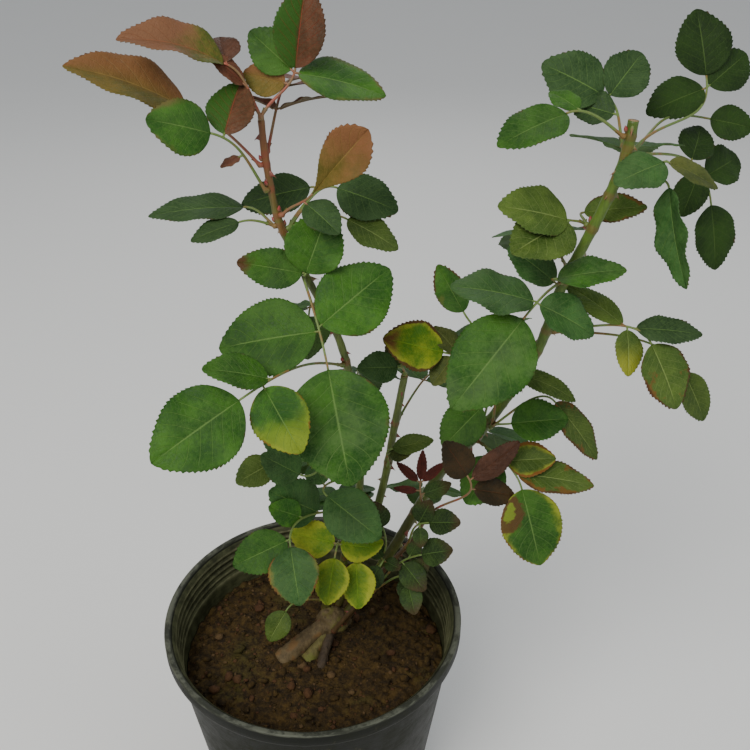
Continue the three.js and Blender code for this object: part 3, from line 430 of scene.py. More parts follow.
SPRAYS = [
    spray_of(
        "spray_at_the_left_tip", "left", 1, "red",
        leaf_of((4, 0, 586), (55, 75), 42, face=(270, 20), ratio=0.7, fold=26,
                sides=((0.93, 65, 30, 0), (0.93, -85, 48, -50), (0.7, 115, 24, 0)),
                finish=("green", "rosy_edge", "orange", "two_tone")),
        leaf_of((-32, -8, 590), (200, 21), 55, face=(270, 62), ratio=0.52, curl=45, fold=24,
                sides=((0.95, -80, 22, 0, 0.9), (0.45, 22, 25, 0, 0.5)),
                finish=("glossy", "red", "flushed")),
    ),
    spray_of(
        "orange_spray", "left", 0.94, "orange",
        leaf_of((-54, -10, 568), (200, 27), 63, face=(270, 62), ratio=0.54, curl=30, fold=20,
                finish="orange"),
    ),
    spray_of(
        "young_left_spray", "left", 0.905, "green",
        leaf_of((-38, -30, 560), (210, 20), 34, face=(270, 35), ratio=0.85,
                sides=((0.85, -97, 32, 0), (0.5, 75, 12, 40)), finish=("two_tone", "red", "rosy_edge")),
    ),
    spray_of(
        "red_spray", "left", 0.865, "red",
        leaf_of((12, -18, 524), (345, 50), 48, face=(270, 30), ratio=0.62, shoulder=1.8, fold=28,
                sides=((0.7, -60, 26, -20),), finish=("dusky", "orange_tipped")),
    ),
    spray_of(
        "dusky_left_spray", "left", 0.84, "blueGreen",
        leaf_of((24, 16, 516), (345, -15), 38, face=(270, 50), finish="dusky"),
        leaf_of((8, 17, 516), (184, -12), 42, face=(270, 50), ratio=0.62, finish="dusky"),
        leaf_of((30, 2, 502), (345, -25), 34, face=(270, 65), ratio=0.66, sides=((0.6, -90, 20, -10),),
                finish=("dusky", "pale")),
    ),
    spray_of(
        "left_reaching_spray", "left", 0.85, "blueGreen",
        leaf_of((-30, 6, 508), (190, 0), 54, face=(270, 75), ratio=0.48, finish="dusky"),
        leaf_of((-31, -8, 504), (198, -14), 29, face=(270, 65), ratio=0.56, finish="dusky"),
    ),
    spray_of(
        "hanging_front_spray", "left", 0.795, "green",
        leaf_of((20, -60, 438), (290, -57), 66, face=(270, 35), ratio=0.86, wave=0.05,
                sides=((0.7, -98, 57, 10), (0.67, 118, 53, 0)), finish=("green", "green", "dusty_green")),
        leaf_of((5, -24, 480), (188, 14), 37, face=(270, 30), ratio=0.62, finish="browned_tip"),
        leaf_of((7, -24, 480), (30, 66), 37, face=(270, 14), ratio=0.92, curl=40, fold=16,
                finish="green"),
    ),
    spray_of(
        "broad_left_spray", "left", 0.6, "green",
        leaf_of((-25, -90, 437), (215, -20), 55, face=(270, 35), ratio=0.8,
                sides=((0.78, -40, 36, 40, 0.7), (0.85, 85, 40, 0)),
                finish=("green", "margined", "green")),
    ),
    spray_of(
        "inner_left_spray", "left", 0.45, "pale",
        leaf_of((-20, -20, 346), (215, -10), 27, face=(270, 45), sides=((0.75, -55, 20, 20),),
                finish=("blueGreen", "pale")),
        leaf_of((-2, -30, 344), (195, 40), 30, finish="blueGreen"),
    ),
    spray_of(
        "low_left_spray", "left", 0.275, "blueGreen",
        leaf_of((-8, -52, 303), (285, -45), 37, ratio=0.86,
                sides=((0.42, -25, 42, 0), (0.93, -66, 38, 0, 0.72), (0.62, -40, 24, 0)),
                finish=("blueGreen", "green", "green", "red_margined")),
    ),
    spray_of(
        "blue_green_spray", "left", 0.36, "blueGreen",
        leaf_of((15, -28, 325), (330, -25), 44, sides=((0.7, -130, 22, 0),)),
    ),
    spray_of(
        "yellowing_spray", "left", 0.15, "yellow",
        leaf_of((19, -38, 281), (255, -50), 31, sides=((0.8, -95, 32, 0), (0.8, 115, 29, 0))),
        leaf_of((33, -30, 270), (275, -50), 31, sides=((0.75, 65, 20, 0),)),
    ),
    spray_of(
        "pale_basal_spray", "left", 0.03, "pale",
        leaf_of((-20, -8, 202), (225, -45), 25, face=(270, 45)),
    ),
    spray_of(
        "spray_at_the_middle_tip", "middle", 1, "blueGreen",
        leaf_of((60, 2, 404), (200, 10), 27, face=(270, 45), sides=((0.62, -62, 20, 0),),
                finish=("dark_green", "dusky")),
    ),
    spray_of(
        "inner_middle_spray", "middle", 0.66, "pale",
        leaf_of((58, 4, 340), (356, 18), 28, face=(270, 55), ratio=0.5, sides=((0.62, -60, 17, 0),),
                finish=("olive", "pale")),
    ),
    spray_of(
        "great_right_spray", "right", 0.765, "blueGreen",
        leaf_of((128, -42, 460), (215, -40), 64, ratio=0.72,
                sides=((0.12, -76, 34, 20), (0.68, -60, 48, 40, 0.84), (0.7, 110, 37, -20)),
                finish=("blueGreen", "blueGreen", "blueGreen", "dusty_green")),
        leaf_of((148, -27, 478), (355, 12), 38, face=(270, 72), ratio=0.64, finish="dusty_green"),
    ),
    spray_of(
        "blotched_spray", "right", 0.6, "yellow",
        leaf_of((88, -4, 418), (190, 20), 40, sides=((0.85, 60, 22, 20), (0.8, -45, 22, 30)),
                finish=("olive", "olive", "crisp")),
        leaf_of((100, 6, 441), (150, 55), 33, face=(250, 25), ratio=0.6, finish="seared"),
    ),
    spray_of(
        "right_reaching_spray", "right", 0.68, "pale",
        leaf_of((210, -20, 432), (315, -55), 42, face=(290, 35),
                sides=((0.64, 150, 44, 10, 0.42), (0.66, -75, 28, 0, 0.66), (0.72, 18, 40, -20, 0.46)),
                finish=("pale", "yellowed", "dusky", "blotted")),
        leaf_of((240, -2, 402), (345, -60), 38, face=(280, 35), ratio=0.56, finish="pale"),
    ),
    spray_of(
        "low_right_spray", "right", 0.49, "green",
        leaf_of((160, -8, 384), (345, -50), 50, face=(290, 50), ratio=0.42, finish="blotted"),
        leaf_of((133, -15, 409), (352, -20), 42, face=(270, 62), ratio=0.36, curl=42, finish="pale"),
        leaf_of((132, -14, 372), (355, 10), 36, face=(270, 50), finish="green"),
    ),
    spray_of(
        "hanging_right_spray", "right", 0.455, "green",
        leaf_of((140, -30, 332), (300, -60), 52, face=(270, 35),
                sides=((0.53, 50, 31, -20), (0.42, -84, 36, 10, 0.84), (0.76, 52, 49, -35, 0.52)),
                finish=("crumpled", "green", "blotted", "hanging")),
        leaf_of((114, -4, 378), (205, -40), 36, face=(270, 45), sides=((0.8, -70, 20, 0),)),
    ),
    spray_of(
        "pale_right_spray", "right", 0.85, "pale",
        leaf_of((153, -12, 507), (190, 16), 42, face=(270, 55), sides=((0.85, 30, 44, 0),)),
        leaf_of((167, 8, 504), (356, 8), 36, face=(270, 50), ratio=0.52, finish="blotted"),
    ),
    spray_of(
        "spray_left_of_the_right_tip", "right", 0.98, "green",
        leaf_of((144, -22, 568), (205, -15), 42, face=(270, 66), ratio=0.66,
                sides=((0.75, -60, 20, 0),), finish=("green", "green")),
    ),
    spray_of(
        "spray_behind_the_right_tip", "right", 0.965, "green",
        leaf_of((172, 20, 568), (170, 25), 38, face=(270, 35), ratio=0.86,
                sides=((0.9, -85, 34, 0), (0.5, 60, 26, 0)), finish="dusky"),
    ),
    spray_of(
        # These far leaves take a darker copy of the green finish: painted shade, for leaves that stand in
        # less light than the rest.
        "far_right_spray", "right", 0.955, "olive",
        leaf_of((242, 60, 570), (115, 65), 39, face=(270, 30), ratio=0.86,
                sides=((0.92, 115, 36, 20), (0.92, -45, 34, 0)), finish="dim"),
        leaf_of((250, 62, 544), (355, -10), 28, face=(270, 30), finish="dim"),
        leaf_of((258, 54, 492), (330, -75), 44, face=(270, 30), ratio=0.6,
                sides=((0.6, 60, 30, 0), (0.8, 60, 34, 0), (0.72, -70, 28, 0)), finish="dim"),
    ),
    spray_of(
        "folded_right_spray", "right", 0.925, "green",
        leaf_of((199, -20, 542), (205, -12), 32, face=(270, 60), sides=((0.9, 125, 32, -10, 0.6),),
                finish=("olive", "blueGreen")),
        leaf_of((204, -20, 528), (295, -65), 56, face=(200, 20), ratio=0.42, fold=24, wave=0.16,
                finish="blueGreen"),
    ),
    spray_of(
        "spray_at_the_shoot_tip", "shoot", 1, "bronze",
        leaf_of((103, -39, 350), (185, 60), 30, ratio=0.7,
                sides=((0.94, -88, 39, 20, 0.42), (0.8, -108, 30, -10, 0.6)),
                finish=("glossy", "bronze", "bronze")),
        leaf_of((76, -12, 326), (80, 65), 20, face=(270, 20), ratio=0.34,
                sides=((0.95, 52, 19, 0, 0.34), (0.95, -48, 19, 0, 0.34),
                       (0.8, 84, 16, 0, 0.34), (0.7, -78, 20, 0, 0.6)),
                finish=("ruby", "ruby", "ruby", "dark_green", "ruby")),
    ),
    spray_of(
        "spray_beside_the_shoot", "shoot", 0.78, "olive",
        leaf_of((82, -22, 298), (335, 20), 23, face=(270, 50),
                sides=((0.75, 30, 20, 0), (0.8, -105, 14, 0)), finish="dark_green"),
    ),
    spray_of(
        "small_low_spray", "shoot", 0.4, "olive",
        leaf_of((49, -20, 257), (218, -48), 20, face=(270, 45),
                sides=((0.62, 60, 17, 0), (0.62, -60, 13, 0)), finish="dark_green"),
        leaf_of((51, -12, 286), (148, 68), 20, face=(270, 30), sides=((0.85, 60, 17, 0),),
                finish="dark_green"),
    ),
    spray_of(
        "spray_at_the_spur_tip", "spur", 1, "olive",
        leaf_of((78, -20, 268), (335, 30), 25, face=(270, 50),
                sides=((0.8, 35, 14, 0), (0.68, -75, 24, 0)), finish="dark_green"),
        leaf_of((69, -22, 242), (285, -35), 21, sides=((0.8, 60, 20, 0), (0.75, -60, 16, 0)),
                finish="dark_green"),
    ),
]

# Sprays on the far sides, hidden from the viewer, all of them by the rule alone
FAR_SPRAYS = [
    {"name": name, "on": on, "at": at, "toward": toward, "tint": tint}
    for name, on, at, toward, tint in (
        ("rear_spray_at_the_left_tip", "left", 0.955, (70, 30), "red"),
        ("rear_upper_left_spray", "left", 0.7, (100, -30), "green"),
        ("rear_middle_left_spray", "left", 0.53, (78, -18), "blueGreen"),
        ("rear_lower_left_spray", "left", 0.36, (130, -15), "green"),
        ("rear_low_spray", "left", 0.2, (110, 0), "blueGreen"),
        ("rear_middle_spray", "middle", 0.82, (65, 8), "green"),
        ("rear_top_right_spray", "right", 0.9, (72, 16), "green"),
        ("rear_upper_right_spray", "right", 0.78, (108, 5), "blueGreen"),
        ("rear_middle_right_spray", "right", 0.64, (120, -10), "green"),
        ("rear_lower_right_spray", "right", 0.42, (60, -20), "blueGreen"),
        ("rear_low_right_spray", "right", 0.26, (80, -20), "green"),
    )
]

NUMBERED = list(enumerate(SPRAYS + FAR_SPRAYS, 1))

# Leaf pieces: the name of a material slot for each, and the sprays it stands for
LEAF_PIECES = {
    "upper_left_leaves": ("leaves_red", (
        "spray_at_the_left_tip", "orange_spray", "young_left_spray", "red_spray", "dusky_left_spray",
        "left_reaching_spray",
    )),
    "lower_left_leaves": ("leaves_blueGreen", (
        "hanging_front_spray", "broad_left_spray", "inner_left_spray", "low_left_spray",
        "blue_green_spray",
    )),
    "middle_leaves": ("leaves_yellow", (
        "yellowing_spray", "pale_basal_spray", "spray_at_the_middle_tip", "inner_middle_spray",
        "blotched_spray",
    )),
    "upper_right_leaves": ("leaves_green", (
        "great_right_spray", "right_reaching_spray", "spray_left_of_the_right_tip",
        "spray_behind_the_right_tip", "far_right_spray", "folded_right_spray",
    )),
    "lower_right_leaves": ("leaves_olive", (
        "low_right_spray", "hanging_right_spray", "pale_right_spray",
    )),
    "shoot_leaves": ("leaves_bronze", (
        "spray_at_the_shoot_tip", "spray_beside_the_shoot", "small_low_spray", "spray_at_the_spur_tip",
    )),
    "rear_left_leaves": ("leaves_green", (
        "rear_spray_at_the_left_tip", "rear_upper_left_spray", "rear_middle_left_spray",
        "rear_lower_left_spray", "rear_low_spray",
    )),
    "rear_right_leaves": ("leaves_green", (
        "rear_middle_spray", "rear_top_right_spray", "rear_upper_right_spray",
        "rear_middle_right_spray", "rear_lower_right_spray", "rear_low_right_spray",
    )),
}


# The rule that places the leaves, in plain lists and vectors


def vector(a):
    return np.array(a, dtype=float)


def unit(a):
    return a / np.linalg.norm(a, axis=-1, keepdims=True)


def towards(heading, rise):
    """A unit vector: its compass heading from +X, and its rise above the level, in degrees."""
    h, r = math.radians(heading), math.radians(rise)
    return vector((math.cos(r) * math.cos(h), math.cos(r) * math.sin(h), math.sin(r)))


def dice(seed):
    """Draws between 0 and 1 that are the same each time: the state is multiplied and wrapped."""
    state = seed * DRAW_STRIDE + DRAW_START

    def roll():
        nonlocal state
        state = (state * DRAW_FACTOR) % DRAW_WRAP
        return state / DRAW_WRAP

    return roll


def smooth_line(stations, steps):
    """Points on a smooth curve through stations: each span is a cubic of its four nearest stations."""
    p = vector(stations)
    q = np.vstack([2 * p[0] - p[1], p, 2 * p[-1] - p[-2]])
    spans = len(p) - 1
    t = np.linspace(0, spans, steps + 1)
    i = np.minimum(t.astype(int), spans - 1)
    u = (t - i)[:, None]
    a, b, c, d = q[i], q[i + 1], q[i + 2], q[i + 3]
    bend = 2 * a - 5 * b + 4 * c - d
    twist = 3 * b - a - 3 * c + d
    return 0.5 * (2 * b + (c - a) * u + bend * u**2 + twist * u**3)


class Line:
    """A run of points with the length reached at each."""

    def __init__(self, points):
        self.points = points
        steps = np.linalg.norm(np.diff(points, axis=0), axis=1)
        self.reach = np.concatenate([[0], np.cumsum(steps)])
        self.length = self.reach[-1]

    def at(self, share):
        target = np.clip(share, 0, 1) * self.length
        columns = [np.interp(target, self.reach, self.points[:, k]) for k in range(3)]
        return np.stack(columns, axis=-1)

    def way(self, share):
        ahead, behind = min(share + TANGENT_STEP, 1), max(share - TANGENT_STEP, 0)
        return unit(self.at(ahead) - self.at(behind))


def cane_line(key, stride):
    stations = vector(CANES[key]["stations"])
    chord = np.linalg.norm(np.diff(stations, axis=0), axis=1).sum()
    return Line(smooth_line(stations, int(math.floor(chord / stride + 0.5))))


LINES = {key: cane_line(key, CANE_STRIDE) for key in CANES}
FINE_LINES = {key: cane_line(key, CANE_FINE_STRIDE) for key in CANES}


def cane_radius(key, share):
    low, high = CANES[key]["radii"]
    return low + (high - low) * share


class Rachis:
    """A leaf's stalk: a cubic curve with four poles, from a collar on the cane to the end leaflet."""

    def __init__(self, foot, out, end, aim):
        start = foot + COLLAR * out
        reach = np.linalg.norm(end - start)
        rising = start + RISE_AT * (end - start) + vector((0, 0, RISE_BY * reach))
        self.poles = (start, rising, end - SETTLE_BY * reach * aim, end)

    def at(self, t):
        t = np.asarray(t, dtype=float)[..., None]
        a, b, c, d = self.poles
        return a * (1 - t) ** 3 + 3 * b * t * (1 - t) ** 2 + 3 * c * t**2 * (1 - t) + d * t**3

    def way(self, t):
        return unit(self.at(min(t + RACHIS_STEP, 1)) - self.at(max(t - RACHIS_STEP, 0)))


def square_to(a, axis):
    """The unit vector square to an axis that lies nearest to a."""
    return unit(a - (a @ axis) * axis)


def turned(a, axis, angle):
    """Vector a turned about a unit axis, by the sum of its kept, crossed and axial shares."""
    c, s = math.cos(angle), math.sin(angle)
    return a * c + np.cross(axis, a) * s + axis * (axis @ a) * (1 - c)


def side_leaflet(rachis, side, face):
    share, swing, length, tilt = side[:4]
    way = rachis.way(share)
    look = square_to(face, way)
    across = np.cross(look, way)
    swing = math.radians(swing)
    flat = math.cos(swing) * way + math.sin(swing) * across
    hang = math.radians(SIDE_HANG)
    axis = math.cos(hang) * flat - math.sin(hang) * look
    return {
        "root": rachis.at(share),
        "base": rachis.at(share) + STALK_LENGTH * axis,
        "axis": axis,
        "normal": turned(square_to(face, axis), axis, math.radians(tilt)),
        "length": length,
        "ratio": side[4] if len(side) > 4 else LEAF_RATIO,
        "shoulder": LEAF_SHOULDER,
        "curl": LEAF_CURL,
    }


def end_leaflet(leaf, end, aim, face):
    return {
        "root": end,
        "base": end,
        "axis": aim,
        "normal": square_to(face, aim),
        "length": leaf["size"],
        "ratio": leaf.get("ratio", LEAF_RATIO),
        "shoulder": leaf.get("shoulder", LEAF_SHOULDER),
        "curl": leaf.get("curl", LEAF_CURL),
        **{key: leaf[key] for key in ("fold", "wave") if key in leaf},
    }


def half_width(share, leaf):
    """Half a leaflet's width: a sine of its length that swells early, from leaf base to tip."""
    swell = np.sin(np.pi * np.clip(share, 0, 1) ** leaf["shoulder"])
    return 0.5 * leaf["ratio"] * leaf["length"] * np.maximum(swell, 0) ** LEAF_FULLNESS


def midrib(leaf, shares):
    """Points, face directions and ways of the midrib, which turns steadily towards the underside."""
    curl = math.radians(leaf["curl"])
    steps = np.diff(shares, prepend=0) * leaf["length"]
    angle = curl * (0.5 * (shares + np.concatenate([[0], shares[:-1]])) - STILL_SHARE)
    along = np.cumsum(steps * np.cos(angle))[:, None]
    down = np.cumsum(steps * np.sin(angle))[:, None]
    points = leaf["base"] + along * leaf["axis"] - down * leaf["normal"]
    here = (curl * (shares - STILL_SHARE))[:, None]
    normals = np.cos(here) * leaf["normal"] + np.sin(here) * leaf["axis"]
    ways = np.cos(here) * leaf["axis"] - np.sin(here) * leaf["normal"]
    return points, normals, ways


def clear_of_canes(leaf):
    """True when no sampled point of the plain leaflet comes near the chords of a cane."""
    shares = vector(ROWS_SMALL if leaf["length"] < SMALL_LENGTH else ROWS_LARGE)
    mids = midrib(leaf, shares)[0]
    halves = np.where(shares == 1, 0, half_width(shares, leaf))
    halves = np.maximum(halves, STALK_WIDTH * TIP_WIDTH_SHARE) * math.cos(math.radians(LEAF_FOLD))
    side = np.cross(leaf["normal"], leaf["axis"])
    points = mids[:, None] + (halves[:, None] * vector(CLEAR_COLUMNS))[..., None] * side
    points = np.concatenate([points, 0.5 * (points[1:] + points[:-1])]).reshape(-1, 3)
    for key, line in LINES.items():
        a, b = line.points[:-1], line.points[1:]
        keep = cane_radius(key, line.reach[:-1] / line.length) + CLEAR_OF_CANE
        span = b - a
        part = ((points[:, None] - a) * span).sum(-1) / (span**2).sum(-1)
        nearest = a + np.clip(part, 0, 1)[..., None] * span
        if (np.linalg.norm(points[:, None] - nearest, axis=-1) < keep).any():
            return False
    return True


def paired_sides(size, pairs, roll):
    shares = PAIR_SHARES[pairs]
    sides = []
    for k, share in enumerate(shares):
        length = size * (PAIR_SIZE - PAIR_SIZE_STEP * (len(shares) - 1 - k))
        for hand in (1, -1):
            swing = hand * (PAIR_SWING + PAIR_SWING_SPREAD * roll())
            sides.append((share, swing, length * (PAIR_LEAST + PAIR_SPREAD * roll()), 0))
    return sides


def far_leaf(spray, foot, roll):
    """A leaf on the far side, all from the rule."""
    heading = spray["toward"][0] + FAR_SWERVE * (roll() - 0.5)
    rise = spray["toward"][1]
    reach = FAR_REACH[0] + (FAR_REACH[1] - FAR_REACH[0]) * roll()
    size = FAR_SIZE[0] + (FAR_SIZE[1] - FAR_SIZE[0]) * roll()
    to = foot + reach * towards(heading, rise)
    aim = (heading + FAR_AIM_SWERVE * (roll() - 0.5), rise - FAR_RISE_DROP)
    pairs = 1 if roll() < FAR_ONE_PAIR else 2
    return {"to": to, "aim": aim, "size": size, "face": (heading, FAR_FACE_RISE), "pairs": pairs}


def grown(number, spray):
    """A spray's petioles and leaflets, by the rule of the plain model; its number starts its draws."""
    line = LINES[spray["on"]]
    share = spray["at"]
    centre, way = line.at(share), line.way(share)
    roll = dice(number)
    leaves = spray.get("leaves") or [far_leaf(spray, centre, roll)]
    if share == 1:
        out, foot = way, centre + GAP * way
    else:
        out = square_to(sum(vector(leaf["to"]) - centre for leaf in leaves), way)
        foot = centre + (cane_radius(spray["on"], share) + GAP) * out
    petioles, leaflets = [], []
    for leaf in leaves:
        end, aim, face = vector(leaf["to"]), towards(*leaf["aim"]), towards(*leaf["face"])
        rachis = Rachis(foot, out, end, aim)
        petioles.append({"rachis": rachis, "foot": foot, "out": out, "face": face})
        sides = leaf["sides"] if "sides" in leaf else paired_sides(leaf["size"], leaf["pairs"], roll)
        own = [side_leaflet(rachis, side, face) for side in sides]
        own.append(end_leaflet(leaf, end, aim, face))
        finishes = leaf.get("finish", spray["tint"])
        if isinstance(finishes, str):
            finishes = [finishes] * len(own)
        for k, (leaflet, finish) in enumerate(zip(own, finishes)):
            leaflet["finish"] = finish
            leaflet["seed"] = SEED_STEPS[0] * number + SEED_STEPS[1] * len(leaflets) + k
        leaflets += [leaflet for leaflet in own if clear_of_canes(leaflet)]
    return petioles, leaflets


# Surfaces: closed sleeves of rings, all worked out as whole arrays


def ring_quads(rows, columns):
    """Quads between neighbouring rings of a sleeve, the last corner of a ring meeting its first."""
    i = np.arange(rows - 1)[:, None] * columns
    j = np.arange(columns)[None]
    k = (j + 1) % columns
    return np.stack([i + j, i + columns + j, i + columns + k, i + k], axis=-1).reshape(-1, 4)


def cap_quads(start, columns, flip):
    """Quads that close a ring with an even number of corners, rung by rung."""
    k = np.arange(columns // 2 - 1)
    rungs = np.stack([k, k + 1, columns - 2 - k, columns - 1 - k], axis=-1) + start
    return rungs[:, ::-1] if flip else rungs


def ring_uvs(rows, columns, along):
    """Places on a sleeve: the share of the way round, and the length reached."""
    around = np.broadcast_to(np.arange(columns) / columns, (rows, columns))
    return np.stack([around, np.broadcast_to(along[:, None], (rows, columns))], axis=-1)


class Book:
    """Surfaces gathered for one mesh: corners, quads, places on the surface and finishes."""

    def __init__(self):
        self.corners, self.quads, self.uvs, self.marks, self.finishes = [], [], [], [], []
        self.count = 0

    def add(self, corners, quads, uvs, marks=0.0, finish=0):
        """Corners in rings, with one mark for all, for each ring or for each corner."""
        marks = np.asarray(marks, float)
        if marks.ndim == 1 and corners.ndim == 3:
            marks = marks[:, None]
        self.marks.append(np.broadcast_to(marks, corners.shape[:-1]).ravel())
        corners = corners.reshape(-1, 3)
        self.corners.append(corners)
        self.quads.append(quads + self.count)
        self.uvs.append(np.broadcast_to(uvs, (*uvs.shape[:-1], 2)).reshape(-1, 2))
        self.finishes.append(np.broadcast_to(np.asarray(finish, int).reshape(-1), len(quads)))
        self.count += len(corners)

    def sleeve(self, rings, uvs, marks=0.0, finish=0, end_finish=None):
        """A closed skin over rings of one corner count, with a cap at each end.

        The places on it are given for each corner, or as the length reached at each ring.
        """
        rows, columns = rings.shape[:2]
        if uvs.ndim == 1:
            uvs = ring_uvs(rows, columns, uvs)
        walls = ring_quads(rows, columns)
        start = cap_quads(0, columns, False)
        end = cap_quads((rows - 1) * columns, columns, True)
        finishes = np.full(len(walls) + len(start) + len(end), finish)
        if end_finish is not None:
            finishes[-len(end):] = end_finish
        self.add(rings, np.concatenate([walls, start, end]), uvs, marks, finishes)

    def piece(self, name, materials, slot, nodes=(), merge=False):
        """The mesh object: corners in metres, riding on the one body, with what it stands for."""
        corners = np.concatenate(self.corners) * MM
        quads = np.concatenate(self.quads)
        uvs = np.concatenate(self.uvs)[quads.ravel()]
        mesh = bpy.data.meshes.new(name)
        mesh.vertices.add(len(corners))
        mesh.vertices.foreach_set("co", corners.astype(np.float32).ravel())
        mesh.loops.add(quads.size)
        mesh.loops.foreach_set("vertex_index", quads.astype(np.int32).ravel())
        mesh.polygons.add(len(quads))
        mesh.polygons.foreach_set("loop_start", np.arange(0, quads.size, 4, dtype=np.int32))
        mesh.update(calc_edges=True)
        for material in materials:
            mesh.materials.append(material)
        mesh.polygons.foreach_set("material_index", np.concatenate(self.finishes).astype(np.int32))
        layer = mesh.uv_layers.new(name="surface")
        layer.data.foreach_set("uv", uvs.astype(np.float32).ravel())
        mark = mesh.attributes.new("mark", "FLOAT", "POINT")
        mark.data.foreach_set("value", np.concatenate(self.marks).astype(np.float32))
        mesh.shade_smooth()
        if merge:
            work = bmesh.new()
            work.from_mesh(mesh)
            bmesh.ops.remove_doubles(work, verts=work.verts, dist=MERGE_REACH * MM)
            work.to_mesh(mesh)
            work.free()
        piece = bpy.data.objects.new(name, mesh)
        bpy.context.scene.collection.objects.link(piece)
        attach(piece, "root")
        if nodes:
            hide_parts(*nodes)


def bell(x, width):
    """1 at nothing, falling off on both sides over a width."""
    return np.exp(-((x / width) ** 2))


def circle(sides):
    """Angles of the corners of a ring."""
    return 2 * np.pi * np.arange(sides) / sides


def ball(polar, around):
    """Points of a unit ball in rings from its foot to its top, by the angles down and round it."""
    ring = np.sin(polar)[:, None]
    return np.stack(np.broadcast_arrays(
        ring * np.cos(around), -ring * np.sin(around), -np.cos(polar)[:, None]
    ), axis=-1)


def relief(points, kind):
    """A rolling height from -1 to 1: a mean of sines along seeded directions of about one wavelength."""
    wavelength, seed = RELIEFS[kind]
    rng = np.random.default_rng(seed)
    ways = unit(rng.normal(size=(RELIEF_WAVES, 3)))
    pace = 2 * np.pi / wavelength * rng.uniform(*RELIEF_PACES, RELIEF_WAVES)
    phase = rng.uniform(0, 2 * np.pi, RELIEF_WAVES)
    waves = np.sin((points @ ways.T) * pace + phase)
    return waves.sum(-1) / math.sqrt(RELIEF_WAVES) / RELIEF_PEAK


def tube_rings(path, radii, sides, reference):
    """Rings about a path: a circle of the given radius across the path's way at each point."""
    ways = unit(np.gradient(path, axis=0))
    across = unit(reference - (ways @ reference)[:, None] * ways)[:, None]
    other = np.cross(across[:, 0], ways)[:, None]
    angle = circle(sides)[None, :, None]
    radii = np.broadcast_to(np.asarray(radii, float).reshape(len(path), -1), (len(path), sides))
    spokes = np.cos(angle) * across + np.sin(angle) * other
    return path[:, None] + radii[..., None] * spokes, spokes


def side_of(chord):
    """A direction square to a chord, for the first corner of each ring."""
    pick = vector((0, 1, 0)) if abs(unit(chord)[1]) < NEARLY_ALONG_Y else vector((1, 0, 0))
    return unit(np.cross(chord, pick))


# Leaf blades, stalks, thorns and bark


BLADE_COLUMNS = vector((*(-v for v in reversed(BLADE_HALF)), 0, *BLADE_HALF))


def blade_rings(leaf, sizes, rear):
    """A leaflet as a flat sleeve: its upper skin runs from edge to edge and its under skin back.

    Along: the midrib turns steadily to the underside. Across: the half width times the column,
    with saw teeth at the outermost column, each a ramp of the length that drops at the tooth's end.
    Up: the fold's share of the distance from the midrib, an edge wave, and a quilt that swells
    between the side veins and sinks along them and the midrib.
    """
    rng = np.random.default_rng(leaf["seed"])
    length = leaf["length"]
    teeth = max(FEWEST_TEETH, int(length / (sizes.tooth_pitch / MM)))
    rows_a_tooth = ROWS_A_TOOTH - 1 if rear else ROWS_A_TOOTH
    shares = np.linspace(0, 1, teeth * rows_a_tooth + 1)
    mids, normals, ways = midrib(leaf, shares)
    side = np.cross(leaf["normal"], leaf["axis"])
    half = np.maximum(half_width(shares, leaf), TIP_HALF_WIDTH)
    tooth = (np.arange(len(shares)) % rows_a_tooth) / rows_a_tooth
    reach = sizes.tooth_depth / MM * min(1, length / FULL_TOOTH_LENGTH) * tooth
    reach = reach * rng.uniform(*TOOTH_SPREAD, len(shares))
    ends = np.clip((shares - TEETH_START) / TEETH_RISE, 0, 1) * np.clip((1 - shares) / TEETH_END, 0, 1)
    reach = (reach * ends)[:, None]
    share = shares[:, None]
    half = half[:, None]
    v = BLADE_COLUMNS
    a = np.abs(v)
    edge = np.where(a == 1, 1, 0)
    lean = 1 + rng.uniform(*LEAN_SPREAD) * np.sign(v)
    fold = math.radians(leaf.get("fold", LEAF_FOLD + rng.uniform(*FOLD_SPREAD)))
    out = half * v * lean * math.cos(fold) + edge * np.sign(v) * reach
    forward = edge * reach * TOOTH_FORWARD
    up = half * (np.sqrt(a**2 + FOLD_ROUNDING) - FOLD_SINK) * math.sin(fold)
    up -= rng.uniform(*DROOP_SPREAD) * half * a**DROOP_POWER
    wave = leaf.get("wave", rng.uniform(*WAVE_SPREAD))
    beat = rng.uniform(*BEAT_SPREAD)
    phase = rng.uniform(0, 2 * np.pi, 2)
    swing = np.where(v < 0, phase[0], phase[1])
    up += wave * half * a**WAVE_POWER * np.sin(2 * np.pi * beat * share + swing)
    veins = sizes.vein_pairs
    run = share * veins - a * VEIN_SLANT * veins + np.where(v < 0, 0.0, VEIN_STAGGER)
    quilt = np.abs(np.sin(np.pi * run)) ** QUILT_POWER - QUILT_POWER
    field = np.clip(a / QUILT_FROM_RIB, 0, 1) * np.clip((QUILT_END - a) / QUILT_TO_EDGE, 0, 1)
    field = field * np.clip(share / QUILT_FROM_FOOT, 0, 1)
    up += sizes.quilt_height / MM * min(1, length / FULL_QUILT_LENGTH) * quilt * field
    up -= GROOVE_DEPTH * bell(v, GROOVE_WIDTH) * min(1, length / FULL_GROOVE_LENGTH)
    face = mids[:, None] + out[..., None] * side + up[..., None] * normals[:, None]
    face = face + forward[..., None] * ways[:, None]
    rib = sizes.leaf_thickness / MM + RIB_THICKNESS * bell(v, RIB_WIDTH) * (RIB_TAPER - share)
    back = face - rib[..., None] * normals[:, None]
    rings = np.concatenate([face, back[:, ::-1]], axis=1)
    uv = np.stack(np.broadcast_arrays(share, 0.5 + 0.5 * v), axis=-1)
    return rings, np.concatenate([uv, uv[:, ::-1]], axis=1)


